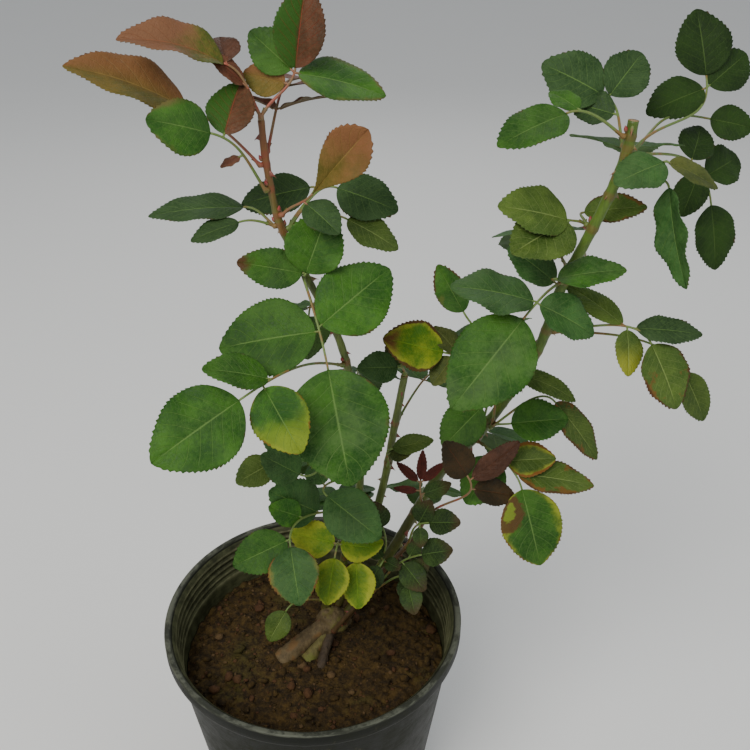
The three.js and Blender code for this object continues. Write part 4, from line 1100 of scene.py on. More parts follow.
def add_blade(book, leaf, sizes, rear, slots):
    """A leaflet whose upper and under skins have finishes of their own."""
    rings, uvs = blade_rings(leaf, sizes, rear)
    rows, columns = rings.shape[:2]
    upper_slot, under_slot = slots[leaf["finish"]]
    under = np.tile(np.arange(columns) >= columns // 2 - 1, rows - 1)
    caps = np.full(2 * (columns // 2 - 1), upper_slot)
    finish = np.concatenate([np.where(under, under_slot, upper_slot), caps])
    book.sleeve(rings, uvs, (leaf["seed"] * GOLDEN_SHARE) % 1, finish)


def add_petiole(book, petiole, finish):
    """A round stalk that thins out along its curve, swollen where it leaves the cane."""
    rachis, foot, out = petiole["rachis"], petiole["foot"], petiole["out"]
    t = np.linspace(0, 1, PETIOLE_ROWS)
    path = np.vstack([foot - PETIOLE_SUNK * out, rachis.at(t)])
    along = np.concatenate([[0], t])
    radii = PETIOLE_RADIUS + (PETIOLE_END_RADIUS - PETIOLE_RADIUS) * along**PETIOLE_TAPER
    radii = radii * PETIOLE_SLIMMING + JOINT_SWELL * bell(along, JOINT_REACH)
    rings = tube_rings(path, radii, PETIOLE_SIDES, side_of(path[-1] - path[0]))[0]
    book.sleeve(rings, along, along, finish)


def add_stalklet(book, leaf, finish):
    """The short stalk from the rachis into a leaflet's foot."""
    axis, rows = leaf["axis"], len(STALKLET_RADII)
    path = np.linspace(leaf["root"] - STALKLET_FOOT * axis, leaf["base"] + STALKLET_END * axis, rows)
    path[-1] -= STALKLET_DIP * leaf["normal"]
    rings = tube_rings(path, vector(STALKLET_RADII), STALKLET_SIDES, side_of(axis))[0]
    book.sleeve(rings, np.full(rows, STALKLET_MARK), STALKLET_MARK, finish)


def stipule(petiole, hand, seed):
    """A narrow pointed wing beside the foot of a petiole, as a small leaf."""
    rachis = petiole["rachis"]
    way = rachis.way(STIPULE_WAY_AT)
    look = square_to(petiole["face"], way)
    axis = unit(way + hand * STIPULE_SPREAD * np.cross(look, way))
    base = rachis.at(STIPULE_AT)
    wing = {"root": base, "base": base, "axis": axis, "normal": square_to(look, axis)}
    return {**wing, **STIPULE, "finish": "stipule", "seed": seed}


def cane_rings(key, sizes):
    """A cane as a round tube: its radius tapers, swells at each leaf scar and ripples along the bark.

    Also the length reached at each ring, and how near it is to a leaf scar or the cane's foot.
    """
    line = FINE_LINES[key]
    rows = int(line.length / CANE_ROW_PITCH)
    shares = np.linspace(0, 1, rows)
    path = line.at(shares)
    along = shares * line.length
    feet = [spray["at"] for _, spray in NUMBERED if spray["on"] == key and spray["at"] < 1]
    apart = np.abs(along[:, None] - vector([0, *feet]) * line.length)
    swell = sum(height * bell(apart, reach).max(1) for height, reach in SCAR_SWELLS)
    radii = cane_radius(key, shares) + swell * cane_radius(key, shares) / SCAR_RADIUS
    rings, spokes = tube_rings(path, np.ones(rows), CANE_SIDES, side_of(path[-1] - path[0]))
    bark = sizes.bark_relief / MM * relief(rings * vector(CANE_GRAIN), "bark_ripples")
    bark += BARK_SWELL_SHARE * sizes.bark_relief / MM * relief(rings, "bark_swells")
    rings = path[:, None] + (radii[:, None] + bark)[..., None] * spokes
    return rings, along, bell(apart, BLUSH_REACH).max(1)


def prickle_rings(foot, out, way, height):
    """A thorn: ovals that shrink to a point along a curve bent towards the cane's foot."""
    t = np.linspace(0, 1, PRICKLE_ROWS)[:, None]
    path = foot + out * height * (t - THORN_SUNK) - way * THORN_HOOK * height * t**THORN_BEND
    long = THORN_LONG * height * (1 - t) ** THORN_TAPERS[0] + THORN_POINT
    wide = THORN_WIDE * height * (1 - t) ** THORN_TAPERS[1] + THORN_POINT
    angle = circle(PRICKLE_SIDES)[:, None]
    spokes = np.cos(angle) * way, np.sin(angle) * np.cross(way, out)
    return path[:, None] + long[..., None] * spokes[0] + wide[..., None] * spokes[1]


def bud_rings(foot, out, way):
    """A bud: a drop that stands along the cane and leans out, pointed at its tip."""
    t = np.linspace(0, 1, PRICKLE_ROWS)
    path = foot + t[:, None] * (BUD_ALONG * way + BUD_OUT * out)
    radii = BUD_RADIUS * np.sin(np.pi * (BUD_FOOT_SHARE + BUD_RUN * t) ** BUD_SWELL) + THORN_POINT
    return tube_rings(path, radii, PRICKLE_SIDES, square_to(out, way))[0]


def leg_rings(leg):
    """A bared leg: a tube from under the soil to the knob, flared at its foot, with ridged bark."""
    top = vector(CROWN_CENTRE)
    foot = vector((*leg["foot"], SOIL_LEVEL - LEG_SINK))
    share = np.linspace(0, 1, LEG_ROWS)
    path = foot + share[:, None] * (top - foot)
    path[:, 2] += leg["bow"] * np.sin(np.pi * share)
    low, high = leg["radii"]
    radii = (low + (high - low) * share) * (1 + (LEG_FLARE - 1) * (1 - share) ** LEG_FLARE_POWER)
    rings, spokes = tube_rings(path, np.ones(LEG_ROWS), LEG_SIDES, side_of(top - foot))
    bark = LEG_RIDGE * relief(rings * vector(LEG_GRAIN) + spokes * LEG_RIDGE_SPREAD, "leg_ridges")
    bark += LEG_BUMP * relief(rings, "leg_bumps")
    return path[:, None] + (radii[:, None] * LEG_SLIMMING + bark)[..., None] * spokes


def knob_rings():
    """The knob: an ellipsoid whose radius rises and falls with two rolling heights."""
    skin = ball(np.linspace(KNOB_POLE, np.pi - KNOB_POLE, KNOB_ROWS), circle(KNOB_SIDES))
    points = vector(CROWN_CENTRE) + skin * vector(CROWN_RADII)
    lift = KNOB_BUMP * relief(points, "knob_bumps") + KNOB_GRAIN * relief(points, "knob_grain")
    return points + lift[..., None] * skin


def clod(x, y):
    """The soil's height over its level: two crossed waves, calm under the legs."""
    calm = np.hypot(x - CALM_CENTRE[0], y - CALM_CENTRE[1]) / CALM_RADIUS
    edge = np.clip((calm - 1) / CALM_FADE, 0, 1)
    edge = edge * edge * (3 - 2 * edge)
    (a, b), (c, d) = SOIL_WAVES
    waves = np.sin(x * a + y * b) * np.cos(y * c - x * d)
    (a, b), (c, d) = SOIL_LUMPS
    lumps = np.sin(x * a + b) * np.sin(y * c + d)
    return edge * CLOD_HEIGHT * (WAVE_SHARE * waves + LUMP_SHARE * lumps)


def grain(points):
    """Crumbs of soil on three scales, the coarse ones cut off below so that they stand out."""
    high, middle, low = GRAIN_SHARES
    coarse = np.clip(relief(points, "soil_crumbs"), GRAIN_CUT, 1)
    fine = np.abs(relief(points, "soil_grain"))
    return high * coarse + middle * fine + low * relief(points, "soil_dust")


def wall_radius(z):
    """The pot's outer radius at a height: a straight line from base to shoulder."""
    low, high = RIM_RADIUS * BASE_SHARE, RIM_RADIUS * SHOULDER_SHARE
    return low + (high - low) * np.asarray(z) / POT_HEIGHT


def soil_rings(sizes):
    """The soil: up the pot's inner wall, then in to the middle over its crumbs."""
    top = float(wall_radius(SOIL_LEVEL)) - WALL - GAP - SOIL_PLAY
    foot = float(wall_radius(FLOOR)) - WALL - SOIL_FOOT_INSET
    radii = np.concatenate([[foot, top - SOIL_BEVEL], np.linspace(top, SOIL_HUB, SOIL_RINGS)])[:, None]
    x = radii * np.cos(circle(SOIL_SIDES))
    y = -radii * np.sin(circle(SOIL_SIDES))
    crumbs = sizes.grain_height / MM * grain(np.stack([x, y, np.zeros_like(x)], axis=-1))
    z = SOIL_LEVEL + clod(x, y) + crumbs - EDGE_SINK * bell(top - radii, EDGE_REACH)
    z[0] = FLOOR + GAP
    z[1] = SOIL_LEVEL - SOIL_SIDE_DROP
    return np.stack([x, y, z], axis=-1)


def crumb_rings(centre, size, rng):
    """A small clod: a lumpy ball of a few rings, each corner's radius drawn apart."""
    turn = circle(CRUMB_SIDES) + rng.uniform(0, CRUMB_TURN)
    lump = size * ball(np.linspace(CRUMB_POLE, np.pi - CRUMB_POLE, CRUMB_RINGS), turn)
    stretch = rng.uniform(*CRUMB_STRETCH, 3) * vector((1, 1, CRUMB_FLATNESS))
    return centre + lump * stretch * rng.uniform(*CRUMB_SPREAD, (CRUMB_RINGS, CRUMB_SIDES, 1))


def pot_wall_profile(sizes):
    """The pot's wall as radius and height pairs: up the outside, over the rim, down the ringed inside.

    With it comes each row's mark: 0 outside, 1 inside, and up to 2 on the crest of an inner ring.
    """
    foot = RIM_RADIUS * BASE_SHARE - FOOT_ROUNDING
    band = POT_HEIGHT - RIM_BAND_HEIGHT
    arc = [(math.cos(a), math.sin(a)) for a in np.linspace(0, np.pi / 2, ARC_ROWS)]
    outer = [(foot + FOOT_ROUNDING * s, FOOT_ROUNDING - FOOT_ROUNDING * c) for c, s in arc]
    rows = np.linspace(OUTER_START, band - BAND_UNDERCUT, OUTER_ROWS)
    outer += list(zip(wall_radius(rows), rows))
    outer += [(float(wall_radius(band)) + BAND_FOOT[0], band - BAND_FOOT[1])]
    outer += [(RIM_RADIUS - inset, band + rise) for inset, rise in BAND_EDGE]
    side, edge = RIM_RADIUS - LIP_ROUNDING, POT_HEIGHT - LIP_ROUNDING
    outer += [(side + LIP_ROUNDING * c, edge + LIP_ROUNDING * s) for c, s in arc]
    inner = [(RIM_RADIUS - RIM_BAND_DEPTH - inset, POT_HEIGHT - drop) for inset, drop in LIP_EDGE]
    start, end = POT_HEIGHT - RIB_START_DROP, POT_HEIGHT - RIB_END_DROP - RIB_COUNT * RIB_PITCH
    rows = np.arange(start, end, -RIB_PITCH / RIB_ROWS)
    crest = 0.5 - 0.5 * np.cos(2 * np.pi * (rows - POT_HEIGHT + RIB_START_DROP) / RIB_PITCH)
    inner += list(zip(wall_radius(rows) - WALL - sizes.ring_depth / MM * crest, rows))
    rows = np.linspace(POT_HEIGHT - INNER_START_DROP, FLOOR + FOOT_ROUNDING, INNER_ROWS)
    inner += list(zip(wall_radius(rows) - WALL, rows))
    inner += [(float(wall_radius(FLOOR)) - WALL - FOOT_ROUNDING + FLOOR_PLAY, FLOOR)]
    plain = len(LIP_EDGE)
    marks = [np.zeros(len(outer) + plain), 1 + crest, np.ones(len(inner) - len(crest) - plain)]
    return vector(outer + inner), np.concatenate(marks)


def floor_plate(z, outer, flip):
    """A pierced floor: per sector, rows shrink from the sector's outline to the round of its hole."""
    inner = FLOOR_DISC
    share = np.arange(SECTOR_STEPS) / SECTOR_STEPS
    step = 2 * np.pi / DRAIN_COUNT
    blend = np.linspace(0, 1, SECTOR_ROWS)[:, None, None]
    pieces = []
    for k in range(DRAIN_COUNT):
        a = k * step
        radii = np.concatenate([
            np.full(SECTOR_STEPS, inner), inner + (outer - inner) * share,
            np.full(SECTOR_STEPS, outer), outer + (inner - outer) * share,
        ])
        turns = np.concatenate([
            a + step * share, np.full(SECTOR_STEPS, a + step),
            a + step * (1 - share), np.full(SECTOR_STEPS, a),
        ])
        outline = np.stack([radii * np.cos(turns), radii * np.sin(turns)], axis=-1)
        middle = DRAIN_CIRCLE * vector((math.cos(a + step / 2), math.sin(a + step / 2)))
        hole = middle + DRAIN_RADIUS * unit(outline - middle)
        flat = outline * (1 - blend) + hole * blend
        pieces.append(np.concatenate([flat, np.full((*flat.shape[:2], 1), z)], axis=-1))
    quads = ring_quads(SECTOR_ROWS, 4 * SECTOR_STEPS)
    return pieces, (quads[:, ::-1] if flip else quads)


# Materials: each recipe is written as sums of sockets


class Shade:
    """A socket of a material; sums and products of sockets and numbers add their maths nodes."""

    def __init__(self, recipe, socket):
        self.recipe, self.socket = recipe, socket

    def __add__(self, other):
        return self.recipe.maths("ADD", self, other)

    def __sub__(self, other):
        return self.recipe.maths("SUBTRACT", self, other)

    def __rsub__(self, other):
        return self.recipe.maths("SUBTRACT", other, self)

    def __mul__(self, other):
        return self.recipe.maths("MULTIPLY", self, other)

    def __pow__(self, other):
        return self.recipe.maths("POWER", self, other)

    def __abs__(self):
        return self.recipe.maths("ABSOLUTE", self)

    __radd__ = __add__
    __rmul__ = __mul__


class Recipe:
    """A material's nodes, with one surface shader whose level of reflection is set at once."""

    def __init__(self, name, level):
        self.material = bpy.data.materials.new(name)
        self.material.use_nodes = True
        self.tree = self.material.node_tree
        self.tree.nodes.clear()
        self.skin = self.tree.nodes.new("ShaderNodeBsdfPrincipled")
        output = self.tree.nodes.new("ShaderNodeOutputMaterial")
        self.tree.links.new(self.skin.outputs[0], output.inputs[0])
        self.skin.inputs["Specular IOR Level"].default_value = level

    def add(self, kind, settings=None, values=None, out=0):
        """A node: its settings first, then a value or a link for each named or numbered input."""
        node = self.tree.nodes.new(kind)
        for key, value in (settings or {}).items():
            setattr(node, key, value)
        for key, value in (values or {}).items():
            self.put(node.inputs[key], value)
        return Shade(self, node.outputs[out])

    def put(self, socket, value):
        if isinstance(value, Shade):
            self.tree.links.new(value.socket, socket)
        elif socket.type == "RGBA":
            socket.default_value = (*value, 1)
        else:
            socket.default_value = value

    def maths(self, operation, *values):
        return self.add("ShaderNodeMath", {"operation": operation}, dict(enumerate(values)))

    def blend(self, factor, first, second):
        """A colour between two colours."""
        settings = {"data_type": "RGBA", "clamp_factor": True}
        return self.add("ShaderNodeMix", settings, {0: factor, 6: first, 7: second}, out=2)

    def scaled(self, colour, factor):
        """A colour made brighter or darker."""
        return self.add("ShaderNodeVectorMath", {"operation": "SCALE"}, {0: colour, 3: factor})

    def ease(self, value, low, high):
        """0 below the low value, 1 above the high one, and a smooth rise between."""
        settings = {"interpolation_type": "SMOOTHSTEP"}
        return self.add("ShaderNodeMapRange", settings, {0: value, 1: low, 2: high})

    def place(self):
        return self.add("ShaderNodeTexCoord", out=3)

    def stretched(self, place, stretch):
        return self.add("ShaderNodeVectorMath", {"operation": "MULTIPLY"}, {0: place, 1: stretch})

    def noise(self, place, scale, detail=3.0, roughness=0.5):
        values = {"Vector": place, "Scale": scale, "Detail": detail, "Roughness": roughness}
        return self.add("ShaderNodeTexNoise", None, values)

    def cells(self, place, scale):
        """The distance from the nearest line between cells."""
        settings = {"feature": "DISTANCE_TO_EDGE"}
        return self.add("ShaderNodeTexVoronoi", settings, {"Vector": place, "Scale": scale})

    def surface(self):
        """The two places on a sleeve's own surface."""
        whole = self.add("ShaderNodeUVMap", {"uv_map": "surface"})
        first = self.add("ShaderNodeSeparateXYZ", None, {0: whole})
        return first, Shade(self, first.socket.node.outputs[1])

    def height(self, place):
        return self.add("ShaderNodeSeparateXYZ", None, {0: place}, out=2)

    def mark(self):
        return self.add("ShaderNodeAttribute", {"attribute_name": "mark"}, out=2)

    def finish(self, colour, roughness, height=None, depth=0.0005, strength=0.6):
        self.put(self.skin.inputs["Base Color"], colour)
        self.put(self.skin.inputs["Roughness"], roughness)
        if height is not None:
            values = {"Height": height, "Distance": depth, "Strength": strength}
            self.put(self.skin.inputs["Normal"], self.add("ShaderNodeBump", None, values))
        return self.material


def leaf_skin(name, look, pairs, under=False):
    """A leaf's skin: mottled between two colours, pale along its veins, with margin, tip and blots."""
    r = Recipe(name, 0.17)
    share, across = r.surface()
    away = abs(across * 2.0 - 1.0)
    place = r.place()
    mark = r.mark()
    wide = r.noise(place, 62.0, 3.0, 0.5)
    fine = r.noise(place, 480.0, 3.0, 0.6)
    hand = r.maths("GREATER_THAN", across, 0.5)
    run = share * float(pairs) - away * (VEIN_SLANT * pairs) + hand * VEIN_STAGGER
    beat = abs(r.maths("SINE", run * math.pi))
    inside = r.ease(away, 0.98, 0.6) * r.ease(share, 0.03, 0.12)
    veins = (1.0 - r.ease(beat, 0.0, 0.17)) * inside
    midrib = (1.0 - r.ease(away, 0.004, 0.036)) * r.ease(share, 1.0, 0.7)
    net = r.ease(r.cells(place, 560.0), 0.0, 0.10)
    mottle = r.ease(wide * 0.68 + fine * 0.32, 0.34, 0.66)
    colour = r.blend(mottle, look["deep"], look["light"])
    colour = r.scaled(colour, 0.80 + mark * 0.36)
    colour = r.blend((1.0 - net) * 0.14, colour, look["vein"])
    if look.get("flush"):
        tint, amount, low, high = look["flush"]
        colour = r.blend(r.ease(share + (wide - 0.5) * 0.7, low, high) * amount, colour, tint)
    if look.get("half"):
        tint, amount, low, high = look["half"]
        colour = r.blend(r.ease(across + (wide - 0.5) * 0.2, low, high) * amount, colour, tint)
    if look.get("margin"):
        tint, amount, start = look["margin"]
        rim = r.ease(away + (wide - 0.5) * 1.1 + (fine - 0.5) * 0.3, start, start + 0.42)
        colour = r.blend(rim * amount, colour, tint)
    lines = veins * (0.5 if under else 0.42) + midrib * (0.85 if under else 0.66)
    colour = r.blend(lines, colour, look["vein"])
    if look.get("blots"):
        tint, amount, level = look["blots"]
        blot = r.ease(r.noise(place, 60.0, 5.0, 0.62) + away * 0.14, level, level + 0.06)
        colour = r.blend(blot * amount, colour, tint)
    if look.get("patch"):
        tint, core, at, beside, reach = look["patch"]
        ragged = (r.noise(place, 150.0, 4.0, 0.6) - 0.5) * 0.30
        apart = r.maths("SQRT", (share - at) ** 2.0 + ((across - beside) * 0.8) ** 2.0) + ragged
        colour = r.blend((1.0 - r.ease(apart, reach, reach + 0.04)) * 0.9, colour, tint)
        colour = r.blend(1.0 - r.ease(apart, reach * 0.4, reach * 0.6), colour, core)
    crisp, amount, start = look.get("crisp", (BROWN, 0.75, 1.0))
    seared = r.ease(away + (r.noise(place, 110.0, 4.0, 0.7) - 0.5) * 0.5, start, start + 0.07)
    colour = r.blend(seared * amount, colour, crisp)
    dust = look.get("dust", 0.1) * (0.5 if under else 1.0)
    film = r.ease(r.noise(place, 38.0, 4.0, 0.6) * 0.75 + fine * 0.3, 0.44, 0.66)
    colour = r.blend(film * dust, colour, DUST)
    if under:
        colour = r.blend(0.34, colour, UNDERSIDE)
    height = net * 0.30 - veins * (-0.8 if under else 0.7) - midrib * 0.6 + (fine - 0.5) * 0.45
    rough = look.get("rough", 0.42) + fine * 0.22 + film * 0.10 + (0.12 if under else 0.0)
    return r.finish(colour, rough, height, 0.0006, 0.6)


def stalk_skin(name, fresh, rosy, amount):
    """A leaf stalk: fresh along its run, rosy at its foot and joints."""
    r = Recipe(name, 0.4)
    place = r.place()
    tone = r.noise(place, 110.0, 3.0)
    streak = r.noise(r.stretched(place, (1, 1, 0.25)), 900.0)
    blush = r.ease(tone + (1.0 - r.mark()) * 0.12, 0.52, 0.72) * amount
    colour = r.blend(blush, fresh, rosy)
    colour = r.scaled(colour, 0.75 + streak * 0.5)
    return r.finish(colour, 0.42 + streak * 0.15, streak, 0.0002, 0.5)


def cane_skin(name, fresh, shade, blushed, amount, old=0.16, young=1.0):
    """A cane's bark: lengthwise streaks of two greens, blushed at each leaf scar, with pale specks.

    It browns downwards from one height in metres above the soil, and reddens upwards from another.
    """
    r = Recipe(name, 0.42)
    soil = SOIL_LEVEL * MM
    shaded = tuple(shade * c for c in fresh)
    place = r.place()
    streak = r.noise(r.stretched(place, (1, 1, 0.12)), 520.0, 4.0, 0.6)
    broad = r.noise(place, 38.0, 3.0)
    fine = r.noise(place, 1500.0, 2.0)
    colour = r.blend(r.ease(streak * 0.6 + broad * 0.5, 0.42, 0.68), shaded, fresh)
    around = r.mark() * (0.55 + broad * 0.8)
    colour = r.blend(r.ease(around, 0.3, 0.9) * amount, colour, blushed)
    height = r.height(place)
    low = 1.0 - r.ease(height + (broad - 0.5) * 0.14, soil + 0.02, soil + old)
    colour = r.blend(low * 0.7, colour, LOW_BARK)
    high = r.ease(height + (streak - 0.5) * 0.06, soil + young, soil + young + 0.06)
    colour = r.blend(high * 0.65, colour, blushed)
    speck = r.ease(r.noise(place, 700.0, 2.0), 0.66, 0.74)
    colour = r.blend(speck * 0.45, colour, DRY)
    colour = r.scaled(colour, 0.86 + fine * 0.28)
    return r.finish(colour, 0.36 + streak * 0.2, streak * 0.6 + fine * 0.4, 0.0003, 0.6)


def old_bark_skin(name, bark, ridge, fresh, share):
    """Old bark: grey ridges over darker clefts, with worn places where the fresh bark shows."""
    r = Recipe(name, 0.3)
    place = r.place()
    crack = r.noise(r.stretched(place, (1, 1, 0.4)), 330.0, 5.0, 0.7)
    broad = r.noise(place, 70.0, 4.0)
    fine = r.noise(place, 1300.0, 3.0)
    colour = r.blend(r.ease(crack * 0.6 + broad * 0.4, 0.34, 0.66), bark, ridge)
    colour = r.blend(r.ease(broad, 0.66 - share * 0.4, 0.74 - share * 0.3) * 0.85, colour, fresh)
    red = r.ease(r.noise(place, 160.0, 2.0), 0.66, 0.72)
    colour = r.blend(red * 0.35, colour, RED_BARK)
    colour = r.scaled(colour, 0.8 + fine * 0.4)
    return r.finish(colour, 0.62 + crack * 0.25, crack * 0.75 + fine * 0.25, 0.0006, 0.6)


def cut_skin():
    """A pruned end: dry tan wood with a paler pith and fine rays."""
    r = Recipe("pruned_end", 0.2)
    place = r.place()
    grain = r.noise(place, 1100.0, 4.0, 0.7)
    colour = r.blend(r.ease(grain, 0.35, 0.7), CUT_WOOD, CUT_PITH)
    return r.finish(colour, 0.8, grain, 0.0004, 0.8)


def thorn_skin(name, base, point):
    """A thorn: its base like the bark, its point darker, by the share of its height."""
    r = Recipe(name, 0.45)
    tone = r.noise(r.place(), 600.0, 3.0)
    colour = r.blend(r.ease(r.mark() + (tone - 0.5) * 0.4, 0.15, 0.8), base, point)
    return r.finish(r.scaled(colour, 0.75 + tone * 0.5), 0.35 + tone * 0.15)


def pot_skin(colours):
    """Moulded black plastic under garden dust, thicker on the ledges, with splashes and fine scuffs."""
    r = Recipe("moulded_black_plastic", 0.14)
    place = r.place()
    broad = r.noise(place, 14.0, 5.0, 0.6)
    spots = r.noise(place, 120.0, 4.0, 0.65)
    fine = r.noise(place, 900.0, 3.0, 0.6)
    scuff = r.noise(r.stretched(place, (1, 1, 9)), 60.0, 5.0, 0.7)
    height = r.height(place)
    low = 1.0 - r.ease(height, 0.0, 0.13)
    film = r.ease(broad * 0.5 + spots * 0.3 + scuff * 0.25 + low * 0.10, 0.43, 0.72)
    colour = r.blend(film * 0.62, colours.pot_plastic, colours.pot_dust)
    splash = r.ease(spots * 0.7 + fine * 0.3, 0.60, 0.68)
    colour = r.blend(splash * 0.5, colour, POT_SPLASH)
    mark = r.mark()
    inner = r.ease(mark, 0.4, 0.6)
    silt = r.ease(spots * 0.4 + broad * 0.3 + scuff * 0.3, 0.40, 0.60)
    colour = r.blend(inner * (0.25 + silt * 0.6), colour, POT_SILT)
    crest = r.ease(mark, 1.5, 1.95) * (0.35 + silt * 0.65)
    colour = r.blend(crest * 0.75, colour, POT_CREST)
    worn = 0.30 + r.ease(scuff, 0.42, 0.58) * 0.70
    edge = r.ease(abs(height - POT_HEIGHT * MM), 0.0020, 0.0005) * worn
    colour = r.blend(edge * 0.7, colour, POT_EDGE)
    rough = 0.38 + film * 0.3 + fine * 0.12
    return r.finish(colour, rough, fine * 0.5 + scuff * 0.3 + spots * 0.3, 0.0004, 0.35)


def soil_skin(name, colours, tint=None, amount=0.0):
    """Damp soil: dark crumbs with reddish, tan and mossy grains."""
    r = Recipe(name, 0.25)
    place = r.place()
    crumbs = r.noise(place, 190.0, 6.0, 0.72)
    grains = r.noise(place, 620.0, 4.0, 0.65)
    patch = r.noise(place, 26.0, 4.0, 0.6)
    colour = r.blend(r.ease(crumbs, 0.34, 0.68), colours.soil_dark, colours.soil_light)
    colour = r.blend(r.ease(grains, 0.62, 0.70) * 0.55, colour, TAN_GRAIN)
    colour = r.blend(r.ease(patch + (crumbs - 0.5) * 0.5, 0.52, 0.72) * 0.55, colour, colours.moss)
    if tint:
        colour = r.blend(amount, colour, tint)
    colour = r.scaled(colour, 0.6 + grains * 0.8)
    return r.finish(colour, 0.86, crumbs * 0.6 + grains * 0.4, 0.0016, 0.9)


def stage_skin():
    """A pale, even floor."""
    r = Recipe("pale_floor", 0.2)
    tone = r.noise(r.place(), 3.0, 2.0)
    return r.finish(r.blend(tone * 0.3, *FLOOR_COLOURS), 0.85)


def leaf_looks(colours):
    """The finish of each kind of leaf: its two greens or reds, its veins, and what age has done to it."""

    def kind(key, vein, dust, **more):
        deep, light = (tuple(getattr(colours, f"{key}_{tone}")) for tone in ("deep", "light"))
        return {"deep": deep, "light": light, "vein": vein, "dust": dust, **more}

    green = kind("green", tuple(colours.vein), 0.14)
    blue = kind("blue", tuple(colours.vein), 0.26)
    yellow = kind("yellow", (0.17, 0.29, 0.02), 0.05, margin=(STRAW, 0.6, 0.5))
    red = kind("red", (0.24, 0.040, 0.022), 0.03)
    orange = kind("orange", (0.24, 0.16, 0.04), 0.03)
    bronze = kind("bronze", (0.085, 0.030, 0.012), 0.0)
    pale = kind("pale", (0.24, 0.31, 0.09), 0.08)
    olive = kind("olive", (0.15, 0.17, 0.04), 0.08)
    return {
        "green": green,
        "dusty_green": {**green, "dust": 0.34},
        "blueGreen": blue,
        "dusky": {**blue, "deep": (0.012, 0.036, 0.008), "light": (0.030, 0.068, 0.019), "dust": 0.14},
        "dark_green": {**green, "deep": (0.012, 0.026, 0.006), "light": (0.034, 0.066, 0.012), "dust": 0.05,
                       "flush": ((0.055, 0.024, 0.012), 0.75, 0.45, 1.0)},
        # A darker copy of the green with no dust: painted shade on the far-right leaves, which stand in less
        # light.
        "dim": {**green, "deep": (0.008, 0.024, 0.003), "light": (0.018, 0.047, 0.006), "dust": 0.0,
                "vein": (0.075, 0.130, 0.030), "rough": 0.5},
        "pale": pale,
        "yellow": yellow,
        "olive": olive,
        "red": red,
        "orange": {**orange, "half": (SUNNY, 0.70, 0.70, 0.22)},
        "orange_tipped": {**orange, "flush": (SUNNY, 0.80, 0.30, 0.85)},
        "bronze": bronze,
        "ruby": {**bronze, "deep": (0.036, 0.007, 0.005), "light": (0.105, 0.020, 0.013)},
        "glossy": {**bronze, "deep": (0.046, 0.019, 0.009), "light": (0.105, 0.046, 0.026), "rough": 0.2},
        "yellowed": {**pale, "flush": (STRAW, 0.7, 0.1, 0.9)},
        "crumpled": {**pale, "margin": (STRAW, 0.8, 0.45), "crisp": (RUST, 0.9, 0.80)},
        "hanging": {**green, "margin": (STRAW, 0.7, 0.74), "crisp": (RUST, 0.8, 0.95), "dust": 0.10,
                    "patch": ((0.085, 0.034, 0.010), (0.150, 0.200, 0.015), 0.26, 0.16, 0.19)},
        "browned_tip": {**green, "flush": (BROWN, 0.95, 0.84, 0.94)},
        "rosy_edge": {**green, "margin": ((0.150, 0.050, 0.030), 0.6, 0.80)},
        "margined": {**green, "margin": (STRAW, 0.45, 0.74), "flush": ((0.20, 0.26, 0.02), 0.80, 0.30, 0.92),
                     "crisp": (RUST, 0.7, 0.97), "dust": 0.03},
        "red_margined": {**blue, "margin": ((0.26, 0.16, 0.02), 0.7, 0.8), "crisp": (RUST, 0.8, 0.94)},
        "two_tone": {**red, "deep": (0.050, 0.026, 0.009), "light": (0.135, 0.056, 0.026),
                     "half": ((0.024, 0.082, 0.007), 0.95, 0.46, 0.56)},
        "flushed": {**red, "deep": pale["deep"], "light": (0.14, 0.12, 0.02),
                    "flush": (red["light"], 0.92, 0.14, 0.52), "vein": (0.25, 0.085, 0.035)},
        "crisp": {**yellow, "deep": (0.040, 0.110, 0.006), "crisp": (BROWN, 0.95, 0.86),
                  "flush": ((0.130, 0.050, 0.012), 0.95, 0.62, 0.95)},
        "blotted": {**pale, "blots": (RUST, 0.7, 0.62), "crisp": (BROWN, 0.9, 0.90)},
        "seared": {**green, "crisp": (BROWN, 0.95, 0.90), "blots": ((0.12, 0.12, 0.02), 0.5, 0.64)},
        "stipule": {**pale, "margin": ((0.26, 0.055, 0.035), 0.5, 0.6), "dust": 0.0},
    }


# Settings that a user would change


def length_of(name, description, default):
    return FloatProperty(
        name=name, description=description, default=default, min=0, unit="LENGTH", precision=5
    )


def colour_of(name, description, default):
    return FloatVectorProperty(
        name=name, description=description, default=default, subtype="COLOR", size=3, min=0, max=1
    )


class RosePotSettings(bpy.types.PropertyGroup):
    ring_depth: length_of("Ring depth", "How far each ring stands out of the pot's inner wall", 0.0009)


class RoseSoilSettings(bpy.types.PropertyGroup):
    grain_height: length_of("Grain height", "Height of the soil's own crumbs", 0.0009)
    clods: IntProperty(name="Clods", description="Loose clods on the soil", default=1100, min=0)


class RoseCaneSettings(bpy.types.PropertyGroup):
    bark_relief: length_of("Bark relief", "Depth of the canes' ripples", 0.00012)
    thorn_height: length_of("Thorn height", "Height of a full-grown thorn", 0.0052)


class RoseLeafSettings(bpy.types.PropertyGroup):
    leaf_thickness: length_of("Thickness", "Thickness of a leaflet between its veins", 0.00028)
    tooth_pitch: length_of("Tooth pitch", "Length of one saw tooth of a leaflet's edge", 0.0023)
    tooth_depth: length_of("Tooth depth", "Height of one saw tooth", 0.0011)
    quilt_height: length_of("Quilting", "How far a leaflet swells between its side veins", 0.0006)
    vein_pairs: IntProperty(name="Vein pairs", description="Side veins on each half", default=8, min=2)


